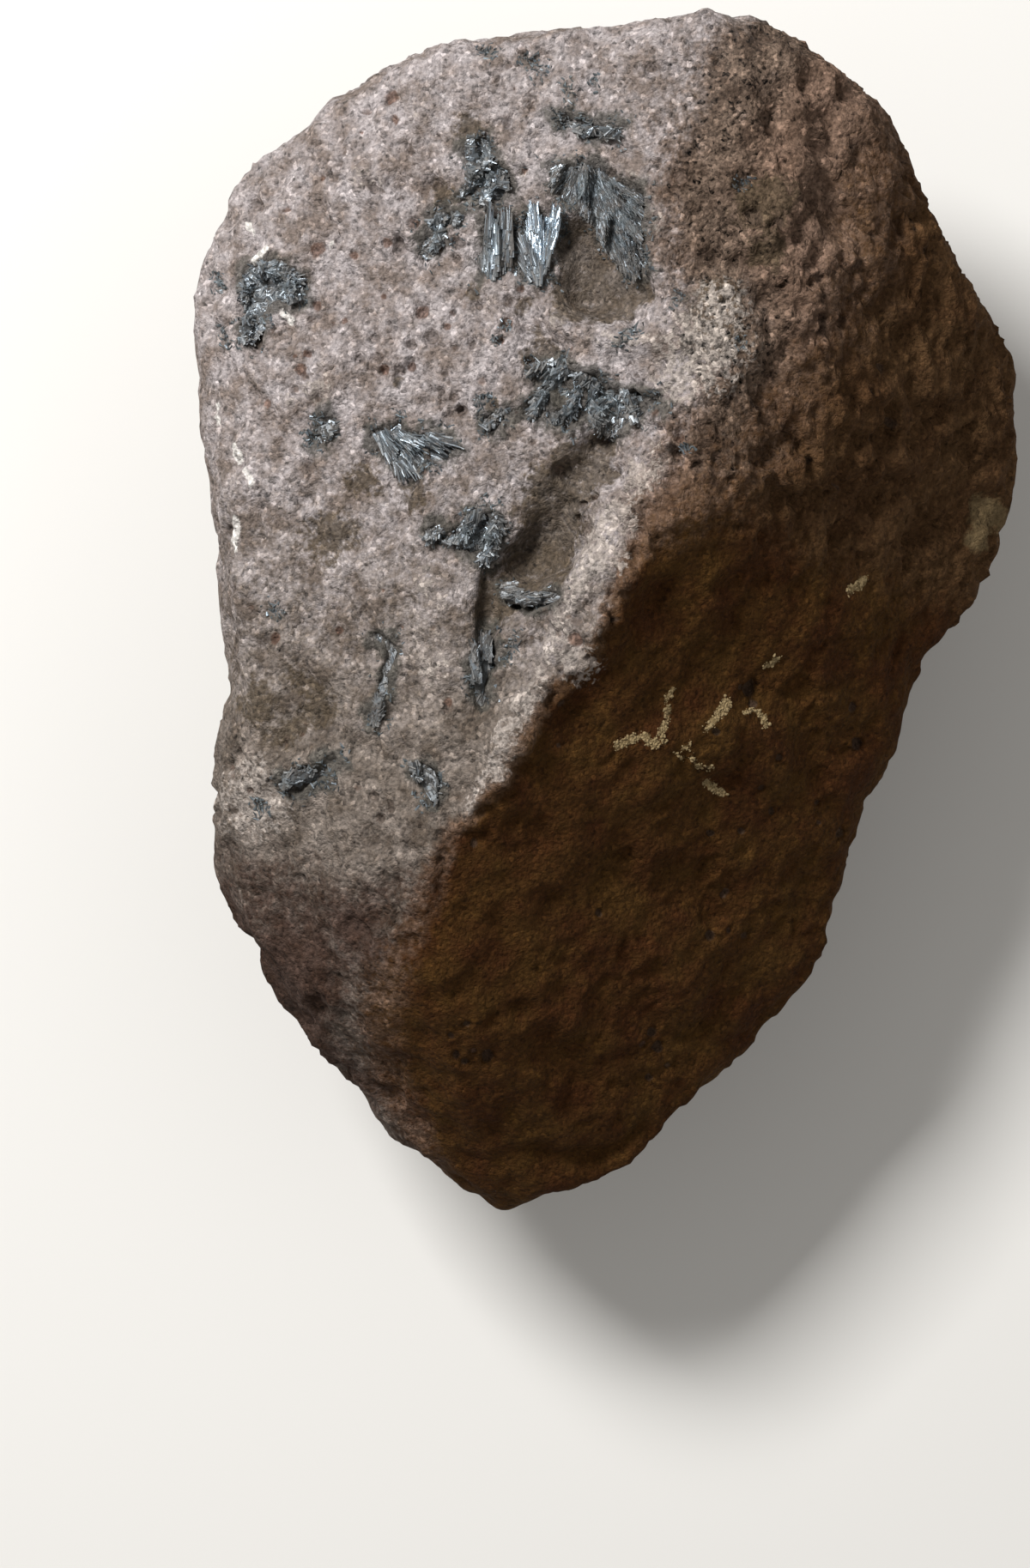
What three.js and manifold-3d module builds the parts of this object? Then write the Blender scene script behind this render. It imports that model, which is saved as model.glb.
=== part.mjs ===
// Pyrolusite specimen: a hand-sized lump of broken brown volcanic rock that lies on its flat back,
// with crusts of dark metallic pyrolusite blades in the hollows and seams of its fresh broken face.
// Millimetres, +Z up, +Y along the length. The origin is under the middle of the lump, on the
// surface that it rests on.
import * as THREE from 'three';
import { ImprovedNoise } from 'three/addons/math/ImprovedNoise.js';
import { mergeVertices } from 'three/addons/utils/BufferGeometryUtils.js';
import Module from 'manifold-3d';

const wasm = await Module();
wasm.setup();

// Driving dimensions
const CREST_HEIGHT = 62; // where the three large faces meet
const CORE_HEIGHT = 30; // the point inside the rock that every radius is measured from
const BELT_HEIGHT = 36; // mean height of the widest line round the rock
const BELT_RISE = 5; // how far the belt climbs towards the top end
const BELT_RISE_ANGLE = THREE.MathUtils.degToRad(115);
const LEAN_ABOVE = 0.24; // how far the sides lean in above the belt, mm per mm
const LEAN_CHANGE = 0.1; // they are steeper by this at the upper left, and flatter at the lower right
const LEAN_ANGLE = THREE.MathUtils.degToRad(120);
const LEAN_BELOW = 0.36; // how far they lean in below the belt
const BED_TRIM = 1.3; // thickness trimmed off the underside to leave it truly flat
const NOTCH_REACH = 11; // height over which the small notches of the outline die out
const EDGE_SHARPNESS = 2; // per mm: higher gives sharper edges between the faces
const ROCK_DETAIL = 15; // divisions of each face of the icosahedron that the rock starts from
const FRONT_CROWDING = 0.36; // draws the mesh towards the upper side
const SOCKET_DEPTH = 2.3; // how deep a crystal hollow is cut below the face
const CRUST_GAP = 0.3; // clearance between a crust and its hollow
const CRUST_DIP = 0.9; // how far the bed of a crust lies below the face
const PLACE_TRIES = 40; // tries for the place of each blade
const PLACE_REACH = 50; // farther apart than this, blades take no notice of each other
const BLADE_SINK = 0.15; // how far the middle of a blade lies below the face
const BLADE_WIDTH = [0.75, 1.3]; // narrowest and widest
const BLADE_DEPTH = [1.3, 2];
const BLADE_LENGTH = [0.7, 1.2]; // as shares of the length given for the patch
const BLADE_ROLL = [20, 70]; // degrees about its own length
const BLADE_LIFT = [4, 18]; // degrees that its tip is raised
const TIP_WIDTH = 0.45; // share of the width and of the depth that is left at the tip
const TIP_DEPTH = 0.55;
const CRUST_HEADROOM = 3; // highest that a blade stands above the face
const CUT_HEADROOM = 9; // how far above the face the cut of a hollow reaches
const UNEVENNESS = 1.4; // multiplies the heights of the surface kinds
const LAYER_OFFSET = 31.7; // keeps the layers of unevenness apart
const LIFT_OFFSET = 50; // keeps the noise away from its own origin
const LEAST_TILT = 0.02; // a face seen flatter than this from the core is left out
const SHARPEST_CORNER = 0.6; // limits how far an outset corner moves
const ROOM = 200; // side of the block that the rock is trimmed with
const SHORTEST_EDGE = 0.03; // shorter edges within a flat face are merged away
const CORNER_GAP = 0.001; // no two corners of a crust come closer than this
const FIRST_SEED = 101;
const SEED_STEP = 100;

// The widest line of the rock, anticlockwise from the top, as seen from above
const OUTLINE = [
  [14.8, 64.1], [17.3, 63.2], [19.7, 61], [22.4, 59.5], [26.1, 56.4], [28.9, 53.6], [31.5, 47.3],
  [34, 42.7], [36.8, 36.8], [40.1, 31.6], [42, 29.1], [43.3, 25], [42.7, 21.8], [43.5, 19.5],
  [43.2, 14.4], [42.3, 8.4], [41.9, 6.2], [40.2, 4.5], [38.2, 0.6], [33.7, -5], [31.6, -10.4],
  [30.5, -15.2], [27.5, -20.4], [25.4, -26.4], [23.2, -37.1], [17.4, -44.6], [13.6, -49.2],
  [7.1, -54.9], [3.4, -58.3], [-3.1, -62], [-10.9, -66], [-15.2, -66.6], [-16.9, -63.5],
  [-19.9, -60.4], [-25.4, -56], [-27.3, -53.7], [-28.7, -49.7], [-31.2, -48.5], [-35.6, -41.6],
  [-39.8, -34.6], [-43, -28.1], [-43.2, -24], [-42.4, -18.4], [-42.5, -14.3], [-41.1, -8.9],
  [-42, 2.3], [-42.5, 8.7], [-43.4, 16.5], [-44.5, 31.5], [-43.8, 37], [-42.4, 40.8],
  [-38.9, 47.7], [-37.1, 49.2], [-32.3, 51.9], [-31.3, 54.3], [-27.2, 56], [-24.5, 56.6],
  [-22.9, 58.6], [-18.8, 59.9], [-10.6, 60.7], [-1, 61.8], [3.3, 60.8], [11.6, 62.8],
].reverse();

// The kinds of surface, each with its unevenness as pairs of lump size and height
const SURFACES = {
  fresh: [[10, 0.8], [4.8, 0.5]],
  rough: [[9, 2], [4.6, 1.1]],
  skin: [[16, 1.3], [7, 0.6]],
  strip: [[9, 1], [4.6, 0.6]],
  side: [[22, 2.6], [9, 1.3]],
  back: [[24, 2], [9, 0.9]],
  bed: [[20, 0.4]],
};

// Broken faces seen from above: a point on each, and its rise along X and along Y
const UPPER_FACES = [
  { kind: 'fresh', at: [6.1, 12.7, CREST_HEIGHT], rise: [0.28, -0.05] },
  { kind: 'rough', at: [6.1, 12.7, CREST_HEIGHT], rise: [-0.42, 0.125] },
  { kind: 'skin', at: [6.1, 11.5, CREST_HEIGHT], rise: [-0.55, 0.457] },
  { kind: 'strip', at: [-18.4, -32.1, 56.2], rise: [0.65, 0.36] },
  { kind: 'strip', at: [-23, -39.6, 50.2], rise: [0.63, 1.08] },
  { kind: 'fresh', at: [-39, 5, 49.6], rise: [0.9, -0.05] },
  { kind: 'fresh', at: [-40, 30, 48.2], rise: [0.7, -0.36] },
  { kind: 'rough', at: [27, 20, 54], rise: [-0.85, 0.1] },
  { kind: 'skin', at: [23, -8, 43.6], rise: [-0.95, 0.4] },
  { kind: 'skin', at: [-6, -55, 38], rise: [-0.2, 1] },
  { kind: 'side', at: [39.5, 4, 36], rise: [-2, 0.5] },
];

// Broken faces of the sides and the back: the way each one faces and its distance from the core
const LOWER_FACES = [
  { kind: 'bed', facing: [0, 0, -1], distance: CORE_HEIGHT + BED_TRIM },
  { kind: 'back', facing: [-0.72, 0.25, -0.65], distance: 37 },
  { kind: 'back', facing: [-0.8, 0.4, -0.45], distance: 47.5 },
  { kind: 'side', facing: [-0.9, -0.15, -0.4], distance: 41 },
  { kind: 'side', facing: [-0.5, -0.75, -0.43], distance: 55.5 },
  { kind: 'back', facing: [0.55, -0.7, -0.45], distance: 42 },
  { kind: 'back', facing: [0.6, -0.3, -0.74], distance: 36 },
  { kind: 'side', facing: [0.8, 0.1, -0.6], distance: 35 },
  { kind: 'side', facing: [0.75, 0.45, -0.48], distance: 46 },
  { kind: 'back', facing: [0.1, 0.8, -0.6], distance: 52 },
  { kind: 'side', facing: [-0.35, 0.93, 0.05], distance: 64 },
];

// Ridges, ledges, hollows and grooves of the upper side: a line, the reach on each side of it,
// and the height at its middle
const RELIEF = [
  { name: 'crest of the long ridge', from: [-10, -14.3], to: [-2, -2.8], reach: 3.4, height: 1.4 },
  { name: 'crest above the scoop', from: [-2, -2.8], to: [4.4, 8.2], reach: 3.6, height: 1.6 },
  { name: 'lit shelf', from: [-3, 27.3], to: [6.5, 26.3], reach: 3.5, height: 1.1 },
  { name: 'lip of the rough face', from: [7, 10.4], to: [15.8, 13], reach: 3.6, height: 1.8 },
  { name: 'rib on the rough face', from: [20, 27], to: [27, 19], reach: 4.5, height: 1.3 },
  { name: 'swell of the skin', from: [-6, -30], to: [10, -14], reach: 9, height: 1.2 },
  { name: 'hollow under the dark ledge', from: [-2.6, 38.2], to: [0.6, 33.4], reach: 4.8, height: -3 },
  { name: 'slope left of the shelf', from: [-8.3, 31], to: [-8.3, 25], reach: 2.8, height: -1.2 },
  { name: 'hollow of the centre crystals', from: [-6.5, 21.3], to: [1.5, 19], reach: 3.8, height: -2.4 },
  { name: 'valley', from: [-10, 10.5], to: [0, 15.5], reach: 4.2, height: -1.5 },
  { name: 'scoop beside the knot', from: [-11, 4.8], to: [-4, 7.5], reach: 4.4, height: -3.4 },
  { name: 'groove', from: [-12.8, 1.5], to: [-13.6, -9.9], reach: 2, height: -1.4 },
  { name: 'upper hollow of the rough face', from: [15.4, 51.5], to: [17, 49.5], reach: 3.2, height: -1.6 },
  { name: 'side hollow of the rough face', from: [22, 41.5], to: [23, 40], reach: 3, height: -1.2 },
  { name: 'chip at the right edge', from: [39.3, 12], to: [39.3, 8.5], reach: 3.4, height: -2.2 },
  { name: 'dip at the left edge', from: [-35.4, -8], to: [-35.4, -12], reach: 6, height: -1.2 },
];

// Crystal hollows: the outline of each as seen from above, and how its blades lie. Blades either
// fan out from a focus or run along one angle, in degrees from +X, with some spread.
const CRUSTS = [
  {
    name: 'upper_cluster', blades: 5, length: 3.6, focus: [-14.5, 46], spread: 50,
    outline: [[-15.1, 48.6], [-13.3, 48.3], [-12.8, 46], [-11.2, 44.7], [-11.2, 42.6], [-12.3, 41],
      [-14.9, 41.8], [-16.4, 42.2], [-15.3, 44.3], [-15.7, 46.6]],
  },
  {
    name: 'upper_left_sprig', blades: 3, length: 2.8, focus: [-16, 41], spread: 40,
    outline: [[-19.8, 39.6], [-18.7, 40.5], [-17.1, 40.8], [-15.7, 40.6], [-16, 39.5], [-17.4, 39],
      [-17.9, 37.6], [-18.9, 36], [-20.1, 36.4], [-20.4, 38.1]],
  },
  {
    name: 'striped_seam', blades: 4, length: 5, angle: 88, spread: 6,
    outline: [[-13.8, 39.6], [-12.3, 39.9], [-10.9, 39.7], [-10.7, 37.8], [-10.9, 35.5],
      [-11.8, 35.3], [-13, 34.1], [-14, 34], [-14.4, 35.2], [-13.9, 37]],
  },
  {
    name: 'radiating_fan', blades: 5, length: 4.2, focus: [-8.1, 33], spread: 8,
    outline: [[-9.4, 40.2], [-7.9, 40.3], [-6.1, 39.9], [-6, 38.5], [-6.7, 36.8], [-7, 35],
      [-7.9, 33.7], [-9.4, 34], [-9.7, 35.3], [-9.7, 37.3]],
  },
  {
    name: 'dark_ledge', blades: 8, length: 4, focus: [-3.5, 47], spread: 35,
    outline: [[-7, 45.1], [-4.8, 45.4], [-1.7, 44.7], [0.2, 43.2], [2.5, 42.1], [2.7, 40.2],
      [2.3, 37.8], [2.6, 35.6], [1.9, 33.2], [0.9, 34.1], [-0.3, 35.7], [-1.7, 37.7], [-2.4, 39.7],
      [-4.3, 41.1], [-6.1, 41.9], [-6.7, 43.4]],
  },
  {
    name: 'left_cluster', blades: 5, length: 3.4, focus: [-36, 37], spread: 45,
    outline: [[-38.8, 36.1], [-37.3, 36.5], [-35.1, 36.2], [-33.3, 35.6], [-32.5, 33.9],
      [-32.8, 32.1], [-34.2, 31.5], [-36.2, 31.6], [-37.1, 30.5], [-36.6, 29.4], [-37.9, 27.6],
      [-38.8, 28], [-39, 29.4], [-38.4, 30.9], [-39.1, 33.7]],
  },
  {
    name: 'centre_cluster', blades: 9, length: 4, focus: [-4, 26], spread: 40,
    outline: [[-8.6, 25], [-6.1, 25.3], [-4.5, 23.9], [-2.6, 23.4], [-0.4, 22.3], [1.7, 21.7],
      [3.8, 21.3], [4.2, 19.9], [2.6, 19.1], [0.9, 18.1], [-0.7, 17.4], [-1.7, 18.1], [-3.3, 18.8],
      [-4.9, 18.2], [-7, 18.9], [-9.8, 19.2], [-11.4, 18.7], [-13, 18.2], [-13.9, 18.5],
      [-13.9, 19.6], [-12.4, 20.1], [-9.1, 20.9], [-8.4, 22.5], [-9.1, 23.7]],
  },
  {
    name: 'needle_spray', blades: 5, length: 3.6, focus: [-25, 19.5], spread: 20,
    outline: [[-25.4, 18.2], [-24.2, 18.7], [-22.7, 19.2], [-22, 18.2], [-18.6, 18.1],
      [-17, 17.3], [-16.7, 16.3], [-17.7, 15.2], [-19.5, 14.7], [-20.6, 14], [-22.2, 14.1],
      [-23.1, 14.6], [-24, 16.1], [-25.1, 17]],
  },
  {
    name: 'left_outlier', blades: 2, length: 2.4, angle: 55, spread: 25,
    outline: [[-30.4, 19.7], [-29.2, 19.9], [-28.8, 18.9], [-29.5, 17.9], [-30.6, 16.7],
      [-31.3, 16.3], [-31.2, 17.6]],
  },
  {
    name: 'lower_knot', blades: 5, length: 3.2, focus: [-13, 11], spread: 35,
    outline: [[-20.1, 7.6], [-18.8, 8.3], [-16.7, 8], [-15.1, 9.5], [-13.9, 9.8], [-12, 9.5],
      [-11.6, 8.2], [-12.4, 5.1], [-13.6, 4.5], [-15.3, 5.3], [-16.1, 6.4], [-19.5, 6.8]],
  },
  {
    name: 'flat_seam', blades: 3, length: 2.8, angle: 2, spread: 18,
    outline: [[-11.6, 2.4], [-10.7, 2.6], [-10, 1.5], [-5.7, 1.5], [-5.8, 0.6], [-9.1, 0.1],
      [-10.7, 0.5], [-11.6, 1.2]],
  },
  {
    name: 'groove_seam', blades: 3, length: 3.2, angle: 86, spread: 12,
    outline: [[-14.4, -3], [-13.3, -2.7], [-12.8, -3.9], [-12.9, -5.9], [-13.5, -8.1],
      [-13.3, -9.5], [-14, -10.2], [-14.7, -9.2], [-14.9, -7.2], [-15, -5]],
  },
  {
    name: 'curved_vein', blades: 3, length: 2.6, angle: 80, spread: 20,
    outline: [[-25.6, -2.6], [-24.7, -2.3], [-23.6, -2.6], [-22.7, -4.5], [-23.6, -7.2],
      [-24.1, -11.2], [-24.8, -12.5], [-25.4, -12.1], [-24.7, -7.9], [-24, -4.9], [-24.5, -3.8],
      [-25.4, -3.5]],
  },
  {
    name: 'lower_left_patch', blades: 3, length: 2.8, angle: 25, spread: 30,
    outline: [[-34.9, -17.1], [-33.2, -16.9], [-31.6, -16.7], [-30.4, -15.5], [-28.9, -15.1],
      [-28.4, -16], [-29.6, -17.1], [-31.3, -18.2], [-32.7, -19.2], [-34.4, -18.7]],
  },
  {
    name: 'lower_right_patch', blades: 2, length: 2.6, angle: -60, spread: 25,
    outline: [[-21.3, -15.9], [-20, -15.9], [-18.8, -16.8], [-18.3, -18.3], [-18.6, -20],
      [-19.7, -19.6], [-20.6, -18]],
  },
  {
    name: 'top_stringer', blades: 3, length: 2.4, angle: -8, spread: 20,
    outline: [[-6.3, 49.9], [-4.8, 50], [-3.1, 49.4], [0.2, 48.9], [0.2, 47.7], [-3.1, 48.1],
      [-4.9, 48.7], [-6.1, 49]],
  },
];

const ROCK_LOOK = { color: '#6f5f58', roughness: 0.95, metalness: 0 };
const CRYSTAL_LOOK = { color: '#3d4247', roughness: 0.32, metalness: 0.85 };

const CORE = new THREE.Vector3(0, 0, CORE_HEIGHT);
const noise = new ImprovedNoise();

// A repeatable stream of random numbers between 0 and 1
function randomStream(seed) {
  let state = seed;
  return () => {
    state = (state + 0x6d2b79f5) | 0;
    let t = Math.imul(state ^ (state >>> 15), 1 | state);
    t = (t + Math.imul(t ^ (t >>> 7), 61 | t)) ^ t;
    return ((t ^ (t >>> 14)) >>> 0) / 4294967296;
  };
}

// Distance from the core to the outline, straight out at one angle
function outlineRadius(angle) {
  const dx = Math.cos(angle);
  const dy = Math.sin(angle);
  for (let i = 0; i < OUTLINE.length; i += 1) {
    const [ax, ay] = OUTLINE[i];
    const [bx, by] = OUTLINE[(i + 1) % OUTLINE.length];
    const startSide = dx * ay - dy * ax;
    const endSide = dx * by - dy * bx;
    const ahead = ax * dx + ay * dy > 0;
    if (ahead && startSide <= 0 && endSide > 0) {
      const along = startSide / (startSide - endSide);
      return Math.hypot(ax + along * (bx - ax), ay + along * (by - ay));
    }
  }
  throw new Error(`the outline has no side at ${angle}`);
}

// The same, averaged over a fan of directions, so that the small notches are gone
function smoothRadius(angle) {
  const halfFan = THREE.MathUtils.degToRad(13);
  const steps = 6;
  let sum = 0;
  for (let i = -steps; i <= steps; i += 1) sum += outlineRadius(angle + (halfFan * i) / steps);
  return sum / (2 * steps + 1);
}

const beltHeight = (angle) => BELT_HEIGHT + BELT_RISE * Math.cos(angle - BELT_RISE_ANGLE);

// Distance from the core to the sloping side wall along a direction, and how near the belt that is
function wallAt(direction) {
  const angle = Math.atan2(direction.y, direction.x);
  const level = Math.hypot(direction.x, direction.y);
  const belt = beltHeight(angle) - CORE_HEIGHT;
  const lean = LEAN_ABOVE - LEAN_CHANGE * Math.cos(angle - LEAN_ANGLE);
  const along = (radius) => {
    const above = (radius + lean * belt) / Math.max(level + lean * direction.z, 1e-6);
    const below = (radius - LEAN_BELOW * belt) / Math.max(level - LEAN_BELOW * direction.z, 1e-6);
    return direction.z * above > belt ? above : below;
  };
  const smooth = along(smoothRadius(angle));
  const offBelt = (direction.z * smooth - belt) / NOTCH_REACH;
  const nearBelt = Math.exp(-offBelt * offBelt);
  return { distance: smooth + nearBelt * (along(outlineRadius(angle)) - smooth), nearBelt };
}

// Every flat face as an outward unit vector and its distance from the core
const PLANES = [
  ...UPPER_FACES.map(({ kind, at, rise }) => {
    const facing = new THREE.Vector3(-rise[0], -rise[1], 1).normalize();
    return { kind, facing, distance: new THREE.Vector3(...at).sub(CORE).dot(facing) };
  }),
  ...LOWER_FACES.map(({ kind, facing, distance }) => (
    { kind, facing: new THREE.Vector3(...facing).normalize(), distance })),
];

// Height that the ridges and hollows add at one place of the upper side
function reliefHeight(x, y) {
  let height = 0;
  for (const line of RELIEF) {
    const dx = line.to[0] - line.from[0];
    const dy = line.to[1] - line.from[1];
    const share = ((x - line.from[0]) * dx + (y - line.from[1]) * dy) / (dx * dx + dy * dy);
    const along = THREE.MathUtils.clamp(share, 0, 1);
    const off = Math.hypot(x - line.from[0] - along * dx, y - line.from[1] - along * dy) / line.reach;
    if (off < 1) height += line.height * (1 - off * off) ** 2;
  }
  return height;
}

// Distance from the core to the rock's surface along a unit direction
function surfaceDistance(direction) {
  const wall = wallAt(direction);
  const candidates = [{ kind: 'side', distance: wall.distance, calm: 1 - 0.85 * wall.nearBelt }];
  for (const plane of PLANES) {
    const tilt = plane.facing.dot(direction);
    if (tilt > LEAST_TILT) candidates.push({ kind: plane.kind, distance: plane.distance / tilt, calm: 1 });
  }
  const nearest = Math.min(...candidates.map((face) => face.distance));
  let total = 0;
  for (const face of candidates) {
    face.share = Math.exp(-EDGE_SHARPNESS * (face.distance - nearest));
    total += face.share;
  }
  const base = nearest - Math.log(total) / EDGE_SHARPNESS;
  const point = direction.clone().multiplyScalar(base);
  let unevenness = 0;
  for (const face of candidates) {
    SURFACES[face.kind].forEach(([size, height], layer) => {
      const offset = LAYER_OFFSET * (layer + 1);
      const lump = noise.noise(point.x / size + offset, point.y / size, point.z / size + LIFT_OFFSET);
      unevenness += (face.share / total) * face.calm * height * lump;
    });
  }
  const upward = THREE.MathUtils.smoothstep(direction.z, 0.1, 0.35);
  const relief = upward * reliefHeight(point.x, point.y) * Math.max(direction.z, 0.5);
  return base + UNEVENNESS * unevenness + relief;
}

// Height of the upper surface over one place
function surfaceHeight(x, y) {
  let low = CORE_HEIGHT;
  let high = CREST_HEIGHT + 20;
  const offset = new THREE.Vector3();
  for (let i = 0; i < 24; i += 1) {
    const middle = (low + high) / 2;
    offset.set(x, y, middle - CORE_HEIGHT);
    const reach = offset.length();
    if (reach < surfaceDistance(offset.divideScalar(reach))) low = middle;
    else high = middle;
  }
  return low;
}

// Solids are joined and cut as closed meshes with shared corners
function toSolid(geometry) {
  geometry.deleteAttribute('normal');
  geometry.deleteAttribute('uv');
  const merged = mergeVertices(geometry, 1e-4);
  return new wasm.Manifold(new wasm.Mesh({
    numProp: 3,
    vertProperties: new Float32Array(merged.attributes.position.array),
    triVerts: new Uint32Array(merged.index.array),
  }));
}

function toMesh(solid, name, look) {
  const { vertProperties, triVerts } = solid.getMesh();
  const geometry = new THREE.BufferGeometry();
  geometry.setAttribute('position', new THREE.BufferAttribute(new Float32Array(vertProperties), 3));
  geometry.setIndex(new THREE.BufferAttribute(new Uint32Array(triVerts), 1));
  geometry.computeVertexNormals();
  const mesh = new THREE.Mesh(geometry, new THREE.MeshStandardMaterial(look));
  mesh.name = name;
  return mesh;
}

// The whole lump, before its hollows are cut, with its back trimmed flat
function makeLump() {
  const ball = new THREE.IcosahedronGeometry(1, ROCK_DETAIL);
  const places = ball.attributes.position;
  const direction = new THREE.Vector3();
  for (let i = 0; i < places.count; i += 1) {
    direction.fromBufferAttribute(places, i).normalize();
    direction.z += FRONT_CROWDING;
    direction.normalize();
    const distance = surfaceDistance(direction);
    places.setXYZ(i, direction.x * distance, direction.y * distance,
      CORE_HEIGHT + direction.z * distance);
  }
  const room = new THREE.BoxGeometry(ROOM, ROOM, ROOM);
  room.translate(0, 0, ROOM / 2);
  return toSolid(ball).intersect(toSolid(room));
}

// The plane that best follows the rock's surface over an outline, as a height function
function facePlane(outline) {
  const count = outline.length;
  const heights = outline.map(([x, y]) => surfaceHeight(x, y));
  const mean = (values) => values.reduce((sum, value) => sum + value, 0) / count;
  const cx = mean(outline.map((p) => p[0]));
  const cy = mean(outline.map((p) => p[1]));
  const cz = mean(heights);
  let xx = 0;
  let xy = 0;
  let yy = 0;
  let xz = 0;
  let yz = 0;
  outline.forEach(([x, y], i) => {
    xx += (x - cx) ** 2;
    xy += (x - cx) * (y - cy);
    yy += (y - cy) ** 2;
    xz += (x - cx) * (heights[i] - cz);
    yz += (y - cy) * (heights[i] - cz);
  });
  const scale = xx * yy - xy * xy;
  const riseX = (xz * yy - yz * xy) / scale;
  const riseY = (yz * xx - xz * xy) / scale;
  return (x, y) => cz + riseX * (x - cx) + riseY * (y - cy);
}

// An outline moved outwards by a distance; a clockwise outline is turned round first
function outset(outline, distance) {
  const points = outline.map(([x, y]) => new THREE.Vector2(x, y));
  if (THREE.ShapeUtils.area(points) < 0) points.reverse();
  return points.map((point, i) => {
    const before = points[(i + points.length - 1) % points.length];
    const after = points[(i + 1) % points.length];
    const inEdge = point.clone().sub(before).normalize();
    const outEdge = after.clone().sub(point).normalize();
    const outward = new THREE.Vector2(inEdge.y + outEdge.y, -inEdge.x - outEdge.x).normalize();
    const stretch = Math.max(outward.dot(new THREE.Vector2(inEdge.y, -inEdge.x)), SHARPEST_CORNER);
    return point.clone().addScaledVector(outward, distance / stretch);
  });
}

// A column over an outline, between two heights measured from a sloping plane
function column(points, plane, bottom, top) {
  const geometry = new THREE.ExtrudeGeometry(new THREE.Shape(points), { depth: 1, bevelEnabled: false });
  const places = geometry.attributes.position;
  for (let i = 0; i < places.count; i += 1) {
    const x = places.getX(i);
    const y = places.getY(i);
    places.setZ(i, plane(x, y) + bottom + places.getZ(i) * (top - bottom));
  }
  return toSolid(geometry);
}

function insideOutline(x, y, points) {
  let inside = false;
  points.forEach((a, i) => {
    const b = points[(i + 1) % points.length];
    if (a.y > y !== b.y > y && x < a.x + ((y - a.y) / (b.y - a.y)) * (b.x - a.x)) inside = !inside;
  });
  return inside;
}

// Places spread over an outline: each new one is the farthest of several tries from those before
function spreadPlaces(edge, count, random) {
  const box = new THREE.Box2().setFromPoints(edge);
  const places = [];
  while (places.length < count) {
    let best = null;
    let bestRoom = -1;
    for (let tries = 0; tries < PLACE_TRIES; tries += 1) {
      const place = new THREE.Vector2(
        THREE.MathUtils.lerp(box.min.x, box.max.x, random()),
        THREE.MathUtils.lerp(box.min.y, box.max.y, random()),
      );
      if (!insideOutline(place.x, place.y, edge)) continue;
      const room = Math.min(PLACE_REACH, ...places.map((other) => other.distanceTo(place)));
      if (room > bestRoom) {
        best = place;
        bestRoom = room;
      }
    }
    if (best) places.push(best);
  }
  return places;
}

// One crystal blade: a tapered bar on edge, lying along its angle with its tip raised a little
function blade(x, y, height, angle, length, random) {
  const between = ([least, most]) => THREE.MathUtils.lerp(least, most, random());
  const bar = new THREE.BoxGeometry(length, between(BLADE_WIDTH), between(BLADE_DEPTH));
  const places = bar.attributes.position;
  for (let i = 0; i < places.count; i += 1) {
    if (places.getX(i) < 0) continue;
    places.setY(i, places.getY(i) * TIP_WIDTH);
    places.setZ(i, places.getZ(i) * TIP_DEPTH);
  }
  bar.rotateX(THREE.MathUtils.degToRad(between(BLADE_ROLL)));
  bar.rotateY(-THREE.MathUtils.degToRad(between(BLADE_LIFT)));
  bar.rotateZ(angle);
  bar.translate(x, y, height);
  return toSolid(bar);
}

// Whether all corners of a solid are clearly apart, so that rounding cannot join two of them
function cornersApart(solid) {
  const { vertProperties } = solid.getMesh();
  const corners = [];
  for (let i = 0; i < vertProperties.length; i += 3) {
    corners.push(new THREE.Vector3().fromArray(vertProperties, i));
  }
  return corners.every((a, i) => corners.slice(i + 1).every((b) => a.distanceTo(b) > CORNER_GAP));
}

// A crust: a bed that fills the lower part of its hollow, with blades lying on it
function growCrust(patch, plane, edge, seed) {
  let crust = column(edge, plane, CRUST_GAP - SOCKET_DEPTH, -CRUST_DIP);
  const room = column(edge, plane, CRUST_GAP - SOCKET_DEPTH, CRUST_HEADROOM);
  const random = randomStream(seed);
  for (const { x, y } of spreadPlaces(edge, patch.blades, random)) {
    const run = patch.focus
      ? Math.atan2(y - patch.focus[1], x - patch.focus[0])
      : THREE.MathUtils.degToRad(patch.angle);
    const angle = run + THREE.MathUtils.degToRad(patch.spread) * (random() - 0.5) * 2;
    const length = patch.length * THREE.MathUtils.lerp(...BLADE_LENGTH, random());
    crust = crust.add(blade(x, y, plane(x, y) - BLADE_SINK, angle, length, random));
  }
  const bodies = crust.intersect(room).decompose();
  bodies.sort((a, b) => b.volume() - a.volume());
  return bodies[0].simplify(SHORTEST_EDGE);
}

// The hollow and the crust of one crystal patch
function makePatch(patch, firstSeed) {
  const plane = facePlane(patch.outline);
  const edge = outset(patch.outline, 0);
  const hollow = column(outset(patch.outline, CRUST_GAP), plane, -SOCKET_DEPTH, CUT_HEADROOM);
  let seed = firstSeed;
  let crust = growCrust(patch, plane, edge, seed);
  while (!cornersApart(crust)) {
    seed += 1;
    crust = growCrust(patch, plane, edge, seed);
  }
  return { hollow, crust };
}

const specimen = new THREE.Group();
let rock = makeLump();
CRUSTS.forEach((patch, index) => {
  const { hollow, crust } = makePatch(patch, FIRST_SEED + SEED_STEP * index);
  rock = rock.subtract(hollow);
  specimen.add(toMesh(crust, `crystals_${patch.name}`, CRYSTAL_LOOK));
});
specimen.add(toMesh(rock.simplify(SHORTEST_EDGE), 'host_rock', ROCK_LOOK));

// The middle of the lump is brought over the origin
const bounds = new THREE.Box3().setFromObject(specimen);
const middle = bounds.getCenter(new THREE.Vector3());
specimen.position.set(-middle.x, -middle.y, 0);
specimen.updateMatrixWorld(true);

export default specimen;
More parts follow.
